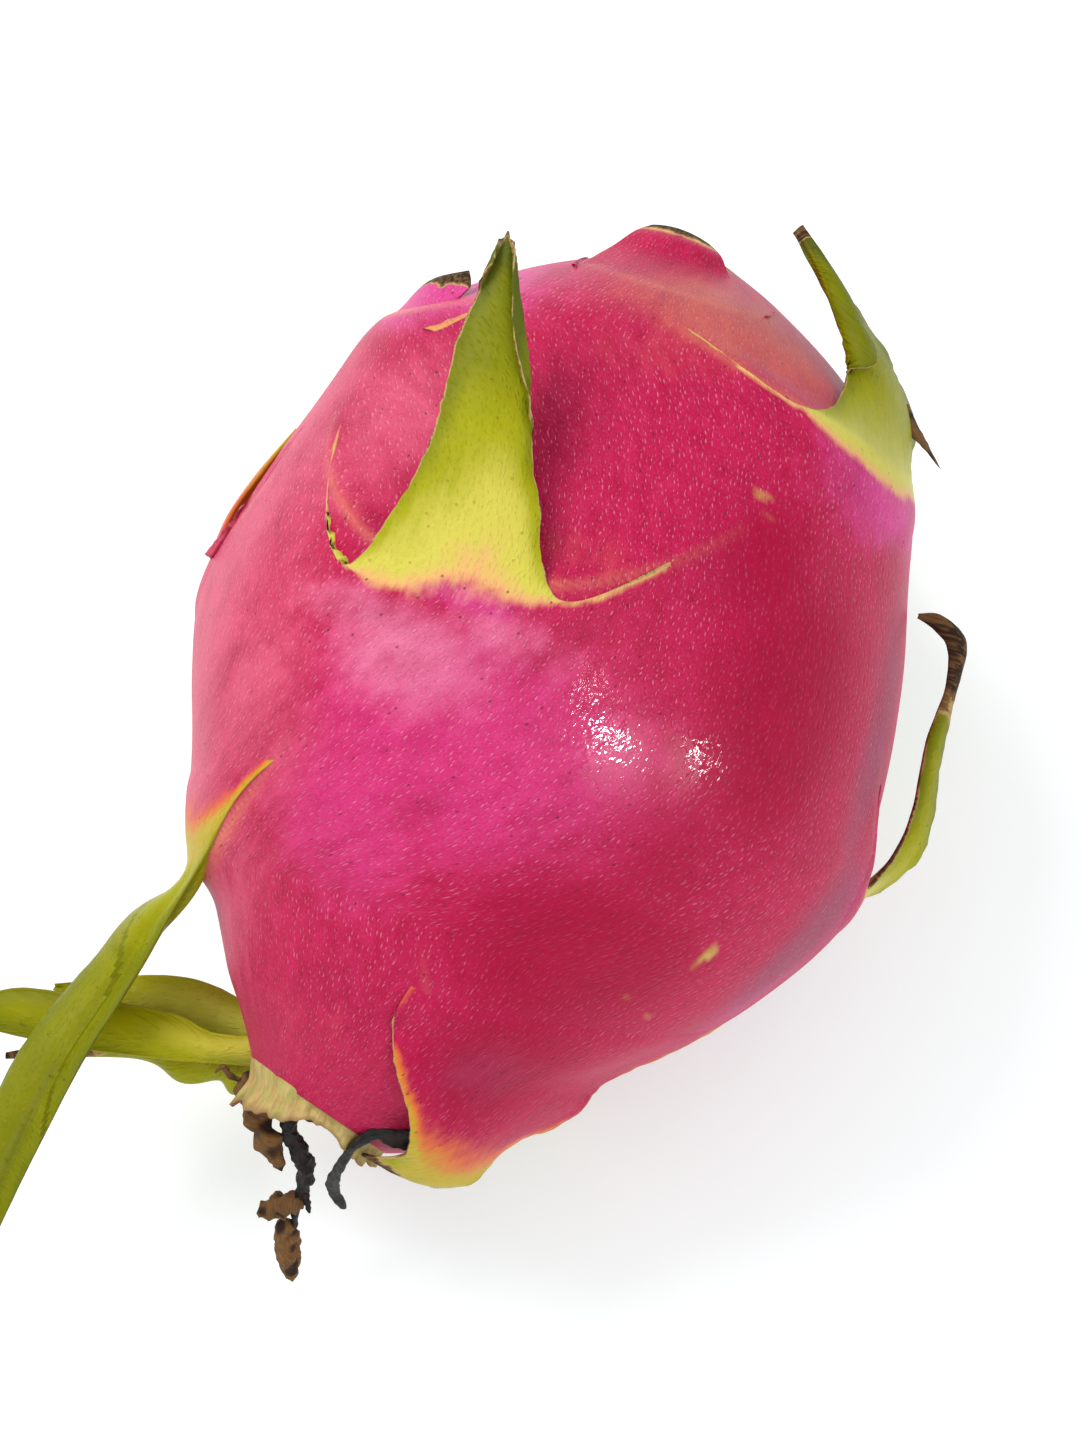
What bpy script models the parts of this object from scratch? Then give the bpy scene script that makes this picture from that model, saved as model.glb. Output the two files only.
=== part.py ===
"""Dragon fruit (pitaya) lying on its side: one grown rind with its leafy scales, and the withered
flower that still hangs at its blossom end. Metres, +Z up. The origin is the middle of the small
flat spot that the fruit rests on."""

import math

import bmesh
import bpy
from mathutils import Matrix, Vector

MM = 0.001

# Pose of the fruit: its axis runs from the blossom end to the stem end
AXIS_TURN = math.radians(20.0)
AXIS_TILT = math.radians(12.7)
AXIS_ROLL = math.radians(-7.4)

# Rind: distance along the axis from the blossom end, then the radius at the sides, at the top and
# towards the table, and how far the middle of the section lies to the left
RIND_SECTIONS = [
    (0.0, 10.0, 10.0, 10.0, 10.5),
    (4.0, 14.6, 14.2, 13.6, 8.4),
    (10.0, 21.0, 20.5, 19.0, 5.2),
    (20.0, 30.0, 29.5, 26.5, 2.0),
    (32.0, 38.8, 38.5, 33.5, 0.0),
    (46.0, 45.4, 45.0, 40.0, -0.4),
    (60.0, 47.4, 47.2, 44.0, 0.3),
    (75.0, 45.8, 46.0, 45.6, 0.4),
    (90.0, 40.6, 41.8, 43.0, 0.0),
    (102.0, 34.4, 35.6, 37.0, 0.0),
    (111.0, 24.6, 26.0, 28.0, 0.0),
    (118.0, 13.2, 15.0, 17.0, 0.0),
    (122.5, 4.5, 5.0, 5.5, 0.0),
]
RIND_RINGS = 36
RIND_SIDES = 44
FLAT_SPOT_DEPTH = 0.9 * MM

# The blossom end is cut off a little askew, so that it faces more to the left than the axis does
END_SLANT = 0.255
END_SLANT_LENGTH = 14.0

# Scales: rows along, columns across, thickness at the middle and at the margin
SCALE_ROWS = 9
SCALE_COLUMNS = 4
SCALE_THICKNESS = 2.2 * MM
MARGIN_THICKNESS = 0.9 * MM
ROOT_DEPTH = 2.6

# Lips: how far the rind swells up to a scale's foot, and how quickly it drops behind it
LIP_RISE_LENGTH = 20.0
LIP_DROP_LENGTH = 4.0

# Withered flower
CLEARANCE = 0.3 * MM
COLLAR_RADIUS = 8.2 * MM
COLLAR_HEIGHT = 4.5 * MM
COLLAR_WALL = 1.0 * MM
COLLAR_FLARE = 0.7 * MM
COLLAR_SIDES = 28

# Dried remains that hang out of the collar: station, right, up and radius at each point
LONG_STYLE = [
    (-2.2, -12.0, -2.0, 0.8),
    (-4.5, -12.6, -2.6, 0.9),
    (-6.4, -10.6, -3.6, 0.8),
    (-8.4, -8.6, -5.0, 0.9),
    (-10.4, -7.8, -6.6, 0.7),
    (-12.0, -8.0, -8.2, 0.6),
]
SHORT_STYLE = [
    (-3.8, -5.4, 2.0, 0.9),
    (-5.4, -5.2, 1.6, 1.0),
    (-7.2, -5.6, 0.4, 0.9),
    (-9.2, -5.9, -1.6, 0.8),
    (-10.6, -5.4, -4.0, 0.7),
    (-11.8, -3.6, -6.0, 0.5),
]
DRIED_LUMP = [
    (-12.6, -9.0, -8.9, 1.0),
    (-13.4, -10.6, -9.6, 2.6),
    (-15.4, -9.8, -11.0, 2.2),
    (-17.2, -8.6, -12.6, 1.3),
    (-19.2, -7.6, -14.2, 2.1),
    (-21.4, -6.6, -15.6, 1.7),
    (-23.0, -5.8, -16.4, 0.6),
]
DRIED_SCRAP = [
    (-2.8, -21.4, -2.0, 0.6),
    (-5.2, -19.4, -2.6, 1.5),
    (-6.6, -16.8, -3.2, 1.8),
    (-8.0, -14.4, -4.2, 1.6),
    (-10.2, -12.8, -5.6, 0.9),
]
REMAINS_POINTS = 16


def clear_scene():
    for old in list(bpy.data.objects):
        bpy.data.objects.remove(old, do_unlink=True)


def new_collection(name):
    collection = bpy.data.collections.new(name)
    bpy.context.scene.collection.children.link(collection)
    return collection


def new_material(name, colour, roughness):
    material = bpy.data.materials.new(name)
    material.use_nodes = True
    shader = material.node_tree.nodes["Principled BSDF"]
    shader.inputs["Base Color"].default_value = (*colour, 1.0)
    shader.inputs["Roughness"].default_value = roughness
    shader.inputs["Metallic"].default_value = 0.0
    return material


# Fruit frame: along the axis, to the right of it and up from it
ALONG = Vector(
    (
        math.sin(AXIS_TURN) * math.cos(AXIS_TILT),
        math.cos(AXIS_TURN) * math.cos(AXIS_TILT),
        math.sin(AXIS_TILT),
    )
)
LEVEL_RIGHT = Vector((math.cos(AXIS_TURN), -math.sin(AXIS_TURN), 0.0))
RIGHT = Matrix.Rotation(-AXIS_ROLL, 3, ALONG) @ LEVEL_RIGHT
UP = RIGHT.cross(ALONG)


def smooth_step(x):
    x = min(1.0, max(0.0, x))
    return x * x * (3.0 - 2.0 * x)


def spline(points, x):
    """Smooth curve through points, which are rows of numbers or vectors, at x from 0 to 1."""
    place = min(max(x, 0.0), 1.0) * (len(points) - 1)
    i = min(int(place), len(points) - 2)
    t = place - i
    p1, p2 = Vector(points[i]), Vector(points[i + 1])
    p0 = Vector(points[i - 1]) if i > 0 else p1 * 2 - p2
    p3 = Vector(points[i + 2]) if i + 2 < len(points) else p2 * 2 - p1
    a = p1 * 2
    b = (p2 - p0) * t
    c = (p0 * 2 - p1 * 5 + p2 * 4 - p3) * t**2
    d = (p1 * 3 - p0 - p2 * 3 + p3) * t**3
    return (a + b + c + d) / 2


def section_at(station):
    """Side, top and table radius and left shift of the rind at a station, in millimetres."""
    rows = RIND_SECTIONS
    station = min(max(station, rows[0][0]), rows[-1][0])
    i = max(k for k in range(len(rows) - 1) if rows[k][0] <= station)
    gap = rows[i + 1][0] - rows[i][0]
    t = (station - rows[i][0]) / gap
    values = []
    for k in range(1, 5):
        y1, y2 = rows[i][k], rows[i + 1][k]
        before = (y2 - y1) / gap
        m1 = m2 = before
        if i > 0:
            m1 = (y2 - rows[i - 1][k]) / (rows[i + 1][0] - rows[i - 1][0])
        if i + 2 < len(rows):
            m2 = (rows[i + 2][k] - y1) / (rows[i + 2][0] - rows[i][0])
        t2, t3 = t * t, t * t * t
        value = y1 * (2 * t3 - 3 * t2 + 1) + y2 * (3 * t2 - 2 * t3)
        value += gap * (m1 * (t3 - 2 * t2 + t) + m2 * (t3 - t2))
        values.append(value)
    return values


def lip_swell(station, angle, lip):
    """Height of the rise that carries one scale, in millimetres."""
    lip_station, lip_angle, half_width, rise, sweep, way = lip
    turn = (angle - lip_angle + 180.0) % 360.0 - 180.0
    across = turn / half_width
    if abs(across) >= 1.0:
        return 0.0
    crest = lip_station + sweep * across * across
    behind = (station - crest) * way
    window = math.cos(across * math.pi / 2) ** 1.2
    if behind < 0.0:
        return rise * window * smooth_step(1.0 + behind / LIP_RISE_LENGTH) ** 1.5
    return rise * window * math.exp(-((behind / LIP_DROP_LENGTH) ** 2))


def skin_radius(station, angle):
    """Distance of the skin from the section's middle, in millimetres, angle in degrees."""
    side, top, table, _ = section_at(station)
    c, s = math.cos(math.radians(angle)), math.sin(math.radians(angle))
    radius = side * c * c + (top if s > 0.0 else table) * s * s
    return radius + sum(lip_swell(station, angle, lip) for lip in LIPS)


def free(station, right, up):
    """A point of the fruit frame, in millimetres, before the fruit is set on the table."""
    return (ALONG * station + RIGHT * right + UP * up) * MM


def slanted(station, right):
    """The station of a point near the blossom end, moved with the slant of that end."""
    fade = 1.0 - smooth_step(station / END_SLANT_LENGTH)
    return station - END_SLANT * fade * (right + RIND_SECTIONS[0][4])


def on_skin(station, angle, height=0.0):
    """A point over the skin, in the fruit frame."""
    radius = skin_radius(station, angle) + height
    turn = math.radians(angle)
    right = radius * math.cos(turn) - section_at(station)[3]
    return free(slanted(station, right), right, radius * math.sin(turn))


# Lips of the rind: station, angle, half width in degrees, rise, sweep back at the ends, and which
# way the scale points: 1 to the stem end and -1 to the blossom end
LIPS = [
    (63.0, 109.0, 40.0, 3.2, 16.0, 1),
    (99.0, 50.0, 46.0, 3.0, 6.0, 1),
    (49.0, 2.0, 38.0, 2.2, 24.0, 1),
    (60.0, 182.0, 28.0, 2.0, 14.0, 1),
    (98.0, 158.0, 34.0, 2.2, 6.0, 1),
    (58.0, 222.0, 30.0, 2.4, 12.0, 1),
    (60.0, 318.0, 30.0, 2.2, 12.0, 1),
    (98.0, 225.0, 30.0, 2.2, 8.0, 1),
    (99.0, 300.0, 34.0, 2.4, 8.0, 1),
    (24.0, 168.0, 38.0, 2.6, 18.0, -1),
    (8.0, 58.0, 48.0, 2.4, 14.0, -1),
]


def skin_scale(foot, angle, half_width, length, way, lift, lean=0.0, arm=9.0):
    """Guides of a plain scale: its foot's station and angle, half width in degrees, length, the way
    it points, how far its tip stands off, how far it leans round the fruit, and its arms."""
    guides = []
    for side in (-1.0, 0.0, 1.0):
        edge = abs(side)
        reach = half_width * side
        root = on_skin(foot - way * 8.0 * (1.0 - edge), angle + reach * 1.45, -ROOT_DEPTH)
        if edge:
            root = on_skin(foot + way * arm, angle + reach * 1.45, -0.6)
        sole = on_skin(foot - way * 2.0 * (1.0 - edge), angle + reach, 0.9)
        base = skin_radius(foot, angle)
        shift = section_at(foot)[3]
        rows = [root, sole]
        for part, width in ((0.3, 0.74), (0.66, 0.4), (1.0, 0.0)):
            turn = math.radians(angle + lean * part + reach * width)
            off = base + 1.5 + lift * part**1.6 - edge * (1.2 - part)
            place = foot + way * length * part
            rows.append(free(place, off * math.cos(turn) - shift, off * math.sin(turn)))
        guides.append(rows)
    return guides


def central_scale():
    """The tall green tongue that faces up."""
    left = [
        on_skin(84, 147, -0.6),
        on_skin(61.5, 126.5, 0.8),
        free(75, -28.0, 45.5),
        free(90, -26.2, 47.5),
        free(108, -24.0, 48),
    ]
    middle = [
        on_skin(52, 108, -ROOT_DEPTH),
        on_skin(60, 109, 1.0),
        free(75, -17.5, 50.5),
        free(90, -20.5, 51.0),
        free(108, -24.0, 48),
    ]
    right = [
        on_skin(80, 73, -0.6),
        on_skin(64.5, 92, 0.8),
        free(75, -8.8, 49),
        free(90, -15.8, 49.5),
        free(108, -24.0, 48),
    ]
    return left, middle, right


def upper_right_scale():
    left = [
        on_skin(107, 102, -0.6),
        on_skin(99.5, 68, 0.9),
        free(108.5, 21.5, 22.5),
        free(119, 15.5, 24),
        free(126.0, 8.0, 24),
    ]
    middle = [
        on_skin(88, 42, -4.0),
        on_skin(96, 43, 0.6),
        free(108, 28.0, 20),
        free(118, 20.5, 22),
        free(126.0, 8.0, 24),
    ]
    right = [
        on_skin(104, 2, -0.6),
        on_skin(100, 18, 0.8),
        free(111, 30.5, 10),
        free(119, 23.0, 16),
        free(126.0, 8.0, 24),
    ]
    return left, middle, right


def right_scale():
    left = [
        on_skin(78, 38, -0.6),
        on_skin(50, 10, 0.8),
        free(60, 49.8, 5),
        free(73, 49.6, 4),
        free(87.0, 47.5, 1),
    ]
    middle = [
        on_skin(40, 0, -ROOT_DEPTH),
        on_skin(48, 0, 1.2),
        free(60, 50.8, -1),
        free(73, 50.4, 0),
        free(87.0, 47.5, 1),
    ]
    right = [
        on_skin(66, -30, -0.6),
        on_skin(50, -12, 0.8),
        free(60, 49.4, -7),
        free(73, 49.4, -4),
        free(87.0, 47.5, 1),
    ]
    return left, middle, right


def bottom_scale():
    left = [
        on_skin(22, 20, -0.6),
        on_skin(12, 24, 0.8),
        free(5, 16.5, 6),
        free(-3.5, 11.0, 6),
        free(-6.5, -1.5, 8),
    ]
    middle = [
        on_skin(22, 58, -4.5),
        on_skin(13, 60, 0.4),
        free(5, 9.5, 14.5),
        free(-2.5, 7.0, 11),
        free(-6.5, -1.5, 8),
    ]
    right = [
        on_skin(20, 97, -0.6),
        on_skin(13, 99, 0.9),
        free(6, 0.5, 17),
        free(-0.5, 2.0, 13),
        free(-6.5, -1.5, 8),
    ]
    return left, middle, right


def long_left_scale():
    left = [
        on_skin(41, 129, -0.6),
        on_skin(30, 147, 0.8),
        free(14, -38.0, 4),
        free(-10, -42.0, 1),
        free(-50, -46.5, -8),
    ]
    middle = [
        on_skin(38, 168, -ROOT_DEPTH),
        on_skin(25, 170, 1.0),
        free(10, -41.0, -1),
        free(-14, -46.5, -2),
        free(-50, -46.5, -8),
    ]
    right = [
        on_skin(40, 202, -0.6),
        on_skin(27, 192, 0.8),
        free(12, -43.0, -5),
        free(-12, -50.0, -4),
        free(-50, -46.5, -8),
    ]
    return left, middle, right


def navel_scale(root, foot, bend, end, half_width, tip_width):
    """Guides of a strap that leaves the blossom end sideways, each place as station, right, up."""
    guides = []
    for side in (-1.0, 0.0, 1.0):
        rows = []
        widths = (half_width, half_width, half_width * 0.85, tip_width, 0.0)
        between = tuple((bend[k] + end[k]) / 2 for k in range(3))
        for place, width in zip((root, foot, bend, between, end), widths):
            cup = 0.8 * (1.0 - abs(side))
            rows.append(free(place[0] + side * width, place[1], place[2] + cup))
        guides.append(rows)
    return guides


def all_scales():
    scales = [
        central_scale(),
        upper_right_scale(),
        right_scale(),
        bottom_scale(),
        long_left_scale(),
    ]
    # Straps at the left of the navel: yellow one, green one above it and green one below it
    scales.append(navel_scale((8, -12, -3), (5, -24, -4), (2, -38, -6), (-6, -62, -10), 3.4, 2.2))
    scales.append(navel_scale((11, -16, -8), (11, -27, -9), (9, -36, -10), (4, -45, -13), 3.6, 2.6))
    scales.append(navel_scale((7, -12, -7), (4, -23, -9), (0.5, -33, -11), (-8, -56, -15), 2.6, 1.8))
    # Left silhouette, shoulder and stem end
    scales.append(skin_scale(60, 182, 17, 24, 1, -3.6))
    scales.append(skin_scale(99, 158, 20, 12, 1, -7.5, arm=5.0))
    scales.append(skin_scale(111, 98, 34, 11, 1, -14.5, arm=2.0))
    # Hidden sides
    scales.append(skin_scale(58, 222, 15, 42, 1, 3.0, lean=-6.0))
    scales.append(skin_scale(60, 318, 15, 40, 1, -3.0, lean=10.0))
    scales.append(skin_scale(98, 225, 19, 24, 1, -5.0))
    scales.append(skin_scale(99, 300, 20, 26, 1, -6.0))
    scales.append(skin_scale(15, 244, 26, 17, -1, -4.0, arm=6.0))
    scales.append(skin_scale(15, 312, 28, 15, -1, -4.0, arm=6.0))
    scales.append(skin_scale(112, 335, 26, 10, 1, -9.0, arm=2.0))
    scales.append(skin_scale(112, 255, 26, 10, 1, -9.0, arm=2.0))
    return scales


def scale_point(guides, across, along):
    """A point of a scale's outer face, across from -1 to 1 and along from 0 to 1."""
    left, middle, right = (spline(rows, along) for rows in guides)
    return middle + (right - left) * (across / 2) + ((right + left) / 2 - middle) * across**2


def scale_object(name, guides):
    """A scale as a thin closed body whose two faces are split into triangles alike."""
    foot = scale_point(guides, 0.0, 0.2)
    spine = ALONG * foot.dot(ALONG)
    outward = (foot - spine).normalized()
    flip = 1.0 if surface_normal(guides, 0.0, 0.3).dot(outward) > 0.0 else -1.0
    bm = bmesh.new()
    outer, inner = [], []
    for i in range(SCALE_ROWS):
        along = 0.97 * i / (SCALE_ROWS - 1)
        outer_row, inner_row = [], []
        for j in range(SCALE_COLUMNS + 1):
            across = 2.0 * j / SCALE_COLUMNS - 1.0
            point = scale_point(guides, across, along)
            normal = surface_normal(guides, across, along) * flip
            middle = 1.0 - across * across
            thick = MARGIN_THICKNESS + (SCALE_THICKNESS - MARGIN_THICKNESS) * middle * (1.0 - along)
            outer_row.append(bm.verts.new(point))
            inner_row.append(bm.verts.new(point - normal * thick))
        outer.append(outer_row)
        inner.append(inner_row)
    add_sheet_faces(bm, outer, inner)
    return bmesh_object(name, bm)


def surface_normal(guides, across, along):
    step = 0.02
    low, high = max(0.0, along - step), min(0.97, along + step)
    du = scale_point(guides, across + step, along) - scale_point(guides, across - step, along)
    dv = scale_point(guides, across, high) - scale_point(guides, across, low)
    return du.cross(dv).normalized()


def add_sheet_faces(bm, outer, inner):
    rows, columns = len(outer), len(outer[0])
    for i in range(rows - 1):
        for j in range(columns - 1):
            a, b = (i, j), (i, j + 1)
            c, d = (i + 1, j + 1), (i + 1, j)
            for trio in ((a, b, c), (a, c, d)):
                bm.faces.new([outer[r][q] for r, q in trio])
                bm.faces.new([inner[r][q] for r, q in reversed(trio)])
    rim = [(0, j) for j in range(columns)]
    rim += [(i, columns - 1) for i in range(1, rows)]
    rim += [(rows - 1, j) for j in range(columns - 2, -1, -1)]
    rim += [(i, 0) for i in range(rows - 2, 0, -1)]
    for k, (r1, q1) in enumerate(rim):
        r2, q2 = rim[(k + 1) % len(rim)]
        bm.faces.new((outer[r1][q1], inner[r1][q1], inner[r2][q2]))
        bm.faces.new((outer[r1][q1], inner[r2][q2], outer[r2][q2]))


def bmesh_object(name, bm):
    bmesh.ops.recalc_face_normals(bm, faces=bm.faces)
    mesh = bpy.data.meshes.new(name)
    bm.to_mesh(mesh)
    bm.free()
    return bpy.data.objects.new(name, mesh)


def rind_rings():
    """Rings of points along the rind, closer together at the two ends."""
    last = RIND_SECTIONS[-1][0]
    rings = []
    for i in range(RIND_RINGS):
        station = last * (0.5 - 0.5 * math.cos(math.pi * i / (RIND_RINGS - 1)))
        station = 0.55 * station + 0.45 * last * i / (RIND_RINGS - 1)
        rings.append([on_skin(station, 360.0 * j / RIND_SIDES) for j in range(RIND_SIDES)])
    return rings


def rind_object(rings):
    bm = bmesh.new()
    grid = [[bm.verts.new(point) for point in ring] for ring in rings]
    for low, high in zip(grid, grid[1:]):
        for j in range(RIND_SIDES):
            k = (j + 1) % RIND_SIDES
            bm.faces.new((low[j], low[k], high[k], high[j]))
    bm.faces.new(grid[0])
    bm.faces.new(grid[-1])
    return bmesh_object("fruit", bm)


def set_on_table(thing, shift):
    """Moves the mesh so that the rest spot is at the origin, and flattens it at the table."""
    for vertex in thing.data.vertices:
        place = vertex.co + shift
        vertex.co = (place.x, place.y, max(place.z, 0.0))


def fuse_scales(rind, scales):
    """Makes one body of the rind and its scales."""
    helpers = new_collection("scales_to_fuse")
    for scale in scales:
        helpers.objects.link(scale)
    union = rind.modifiers.new("fuse", "BOOLEAN")
    union.operation = "UNION"
    union.operand_type = "COLLECTION"
    union.collection = helpers
    union.solver = "MANIFOLD"
    graph = bpy.context.evaluated_depsgraph_get()
    mesh = bpy.data.meshes.new_from_object(rind.evaluated_get(graph))
    rind.modifiers.clear()
    rind.data = mesh
    for scale in scales:
        bpy.data.objects.remove(scale, do_unlink=True)
    bpy.data.collections.remove(helpers)


def keep_largest_piece(thing):
    """Drops loose scraps and sealed pockets that the union leaves."""
    bm = bmesh.new()
    bm.from_mesh(thing.data)
    seen, pieces = set(), []
    for start in bm.verts:
        if start in seen:
            continue
        piece, stack = [], [start]
        seen.add(start)
        while stack:
            vertex = stack.pop()
            piece.append(vertex)
            for edge in vertex.link_edges:
                other = edge.other_vert(vertex)
                if other not in seen:
                    seen.add(other)
                    stack.append(other)
        pieces.append(piece)
    pieces.sort(key=len, reverse=True)
    for piece in pieces[1:]:
        bmesh.ops.delete(bm, geom=piece, context="VERTS")
    bm.to_mesh(thing.data)
    bm.free()


def collar_object(shift):
    """The dried flower tube: a shallow ragged cup seated on the blossom end."""
    bm = bmesh.new()
    centre = section_at(0.0)[3]
    floor = -CLEARANCE / MM
    wall = COLLAR_WALL / MM
    depth = COLLAR_HEIGHT / MM
    flare = COLLAR_FLARE / MM
    radius = COLLAR_RADIUS / MM
    profile = [
        (radius, floor),
        (radius + flare * 0.4, floor - depth * 0.5),
        (radius + flare, floor - depth),
        (radius + flare - wall, floor - depth),
        (radius + flare * 0.4 - wall, floor - depth * 0.5),
        (radius - wall * 1.4, floor - wall),
    ]
    rings = []
    for reach, station in profile:
        ring = []
        for j in range(COLLAR_SIDES):
            turn = 2.0 * math.pi * j / COLLAR_SIDES
            deep = (floor - station) / depth
            wave = 1.0 + 0.05 * deep * math.sin(5.0 * turn) + 0.04 * deep * math.sin(8.0 * turn + 1.0)
            drop = deep * (0.9 * math.sin(4.0 * turn) + 0.7 * math.sin(7.0 * turn + 2.0))
            right = reach * wave * math.cos(turn) - centre
            place = free(slanted(station + drop, right), right, reach * wave * math.sin(turn))
            ring.append(bm.verts.new(place))
        rings.append(ring)
    for low, high in zip(rings, rings[1:]):
        for j in range(COLLAR_SIDES):
            k = (j + 1) % COLLAR_SIDES
            bm.faces.new((low[j], low[k], high[k]))
            bm.faces.new((low[j], high[k], high[j]))
    bm.faces.new(rings[0])
    bm.faces.new(rings[-1])
    collar = bmesh_object("withered_flower_collar", bm)
    for vertex in collar.data.vertices:
        vertex.co += shift
    return collar


def remains_object(name, knots, shift):
    """A bent strand or lump as a curve whose radius changes along it."""
    curve = bpy.data.curves.new(name, "CURVE")
    curve.dimensions = "3D"
    curve.bevel_depth = MM
    curve.bevel_resolution = 2
    curve.use_fill_caps = True
    line = curve.splines.new("POLY")
    line.points.add(REMAINS_POINTS - 1)
    for k, point in enumerate(line.points):
        station, right, up, radius = spline(knots, k / (REMAINS_POINTS - 1))
        point.co = (*(free(station, right, up) + shift), 1.0)
        point.radius = radius
    return bpy.data.objects.new(name, curve)


def main():
    clear_scene()
    parts = new_collection("dragon_fruit")
    rings = rind_rings()
    lowest = min((point for ring in rings for point in ring), key=lambda point: point.z)
    shift = Vector((-lowest.x, -lowest.y, -lowest.z - FLAT_SPOT_DEPTH))
    rind = rind_object(rings)
    parts.objects.link(rind)
    scales = [scale_object(f"scale_{k}", guides) for k, guides in enumerate(all_scales())]
    fuse_scales(rind, scales)
    keep_largest_piece(rind)
    set_on_table(rind, shift)
    rind.data.materials.clear()
    rind.data.materials.append(new_material("pink_rind", (0.72, 0.05, 0.16), 0.38))
    collar = collar_object(shift)
    parts.objects.link(collar)
    collar.data.materials.append(new_material("dry_tan", (0.45, 0.33, 0.16), 0.85))
    black = new_material("dried_black", (0.02, 0.018, 0.016), 0.6)
    brown = new_material("dried_brown", (0.22, 0.12, 0.04), 0.9)
    remains = [
        ("dried_style_long", LONG_STYLE, black),
        ("dried_style_short", SHORT_STYLE, black),
        ("dried_flower_lump", DRIED_LUMP, brown),
        ("dried_flower_scrap", DRIED_SCRAP, brown),
    ]
    for name, knots, material in remains:
        piece = remains_object(name, knots, shift)
        piece.data.materials.append(material)
        parts.objects.link(piece)


main()
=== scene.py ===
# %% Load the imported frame
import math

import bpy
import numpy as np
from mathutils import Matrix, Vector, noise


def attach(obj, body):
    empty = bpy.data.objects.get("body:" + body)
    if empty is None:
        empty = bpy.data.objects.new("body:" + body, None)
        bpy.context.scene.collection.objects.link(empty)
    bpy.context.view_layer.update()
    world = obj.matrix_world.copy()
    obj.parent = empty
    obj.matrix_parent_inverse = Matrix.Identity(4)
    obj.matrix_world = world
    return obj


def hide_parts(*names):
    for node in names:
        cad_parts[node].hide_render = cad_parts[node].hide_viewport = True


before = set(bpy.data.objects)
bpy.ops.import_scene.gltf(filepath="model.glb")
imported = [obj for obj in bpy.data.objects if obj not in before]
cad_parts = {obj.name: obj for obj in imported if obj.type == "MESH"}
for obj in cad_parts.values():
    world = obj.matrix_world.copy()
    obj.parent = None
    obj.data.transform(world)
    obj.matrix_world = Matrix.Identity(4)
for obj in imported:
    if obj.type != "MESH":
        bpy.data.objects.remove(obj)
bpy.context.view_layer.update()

# %% [markdown]
# This lesson dresses a dragon fruit that lies on its side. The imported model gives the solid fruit
# and the dried flower at its blossom end, and each cell below makes one finished surface around
# them. Everything is measured in the fruit's own frame: along its axis from the blossom end to the
# stem end, to the right of it, and up from it. Working in that frame keeps every number readable,
# and one function turns it into metres in the world.

MM = 0.001
AXIS_TURN, AXIS_TILT, AXIS_ROLL = (math.radians(a) for a in (20.0, 12.7, -7.4))
BLOSSOM_END = np.array((-23.28, -62.98, 28.89)) * MM
RIND_END = 122.5

ALONG = np.array(
    (
        math.sin(AXIS_TURN) * math.cos(AXIS_TILT),
        math.cos(AXIS_TURN) * math.cos(AXIS_TILT),
        math.sin(AXIS_TILT),
    )
)
LEVEL = np.array((math.cos(AXIS_TURN), -math.sin(AXIS_TURN), 0.0))
RIGHT = LEVEL * math.cos(AXIS_ROLL) + np.cross(LEVEL, ALONG) * math.sin(AXIS_ROLL)
UP = np.cross(RIGHT, ALONG)


def place(station, right, up):
    """World metres of points given in millimetres in the fruit frame."""
    s, r, u = (np.asarray(v, float)[..., None] for v in (station, right, up))
    return BLOSSOM_END + (ALONG * s + RIGHT * r + UP * u) * MM


def unplace(points):
    """Station, right and up in millimetres of world points."""
    local = (points - BLOSSOM_END) / MM
    return local @ ALONG, local @ RIGHT, local @ UP


def smooth(x):
    x = np.clip(x, 0.0, 1.0)
    return x * x * (3.0 - 2.0 * x)


def bell(x):
    return np.exp(-(x**2))


print("axis", ALONG.round(3), "right", RIGHT.round(3), "up", UP.round(3))

# %% [markdown]
# The rind is a loft: a radius at the sides, at the top and towards the table for each station
# along the axis. A sphere pulled into shape would need many moves, while a few sections give the
# egg shape at once and stay easy to read. Where a scale grows out, the rind swells up to its foot
# and drops behind it, which is a second small formula, the lip. Two wide shallow flats take a
# little off the sides, where the fruit's outline runs nearly straight.

# %% Sections and lips of the rind
# Station, then the radius at the sides, at the top and towards the table, and the shift to the left.
SECTIONS = np.array(
    [
        (0, 10, 10, 10, 10.5),
        (4, 14.6, 14.2, 13.6, 8.4),
        (10, 21, 20.5, 19, 5.2),
        (20, 30, 29.5, 26.5, 2),
        (32, 38.8, 38.5, 33.5, 0),
        (46, 45.4, 45, 40, -0.4),
        (60, 47.4, 47.2, 44, 0.3),
        (75, 45.8, 46, 45.6, 0.4),
        (90, 40.6, 41.8, 43, 0),
        (102, 34.4, 35.6, 37, 0),
        (111, 24.6, 26, 28, 0),
        (118, 13.2, 15, 17, 0),
        (RIND_END, 4.5, 5, 5.5, 0),
    ]
)
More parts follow.
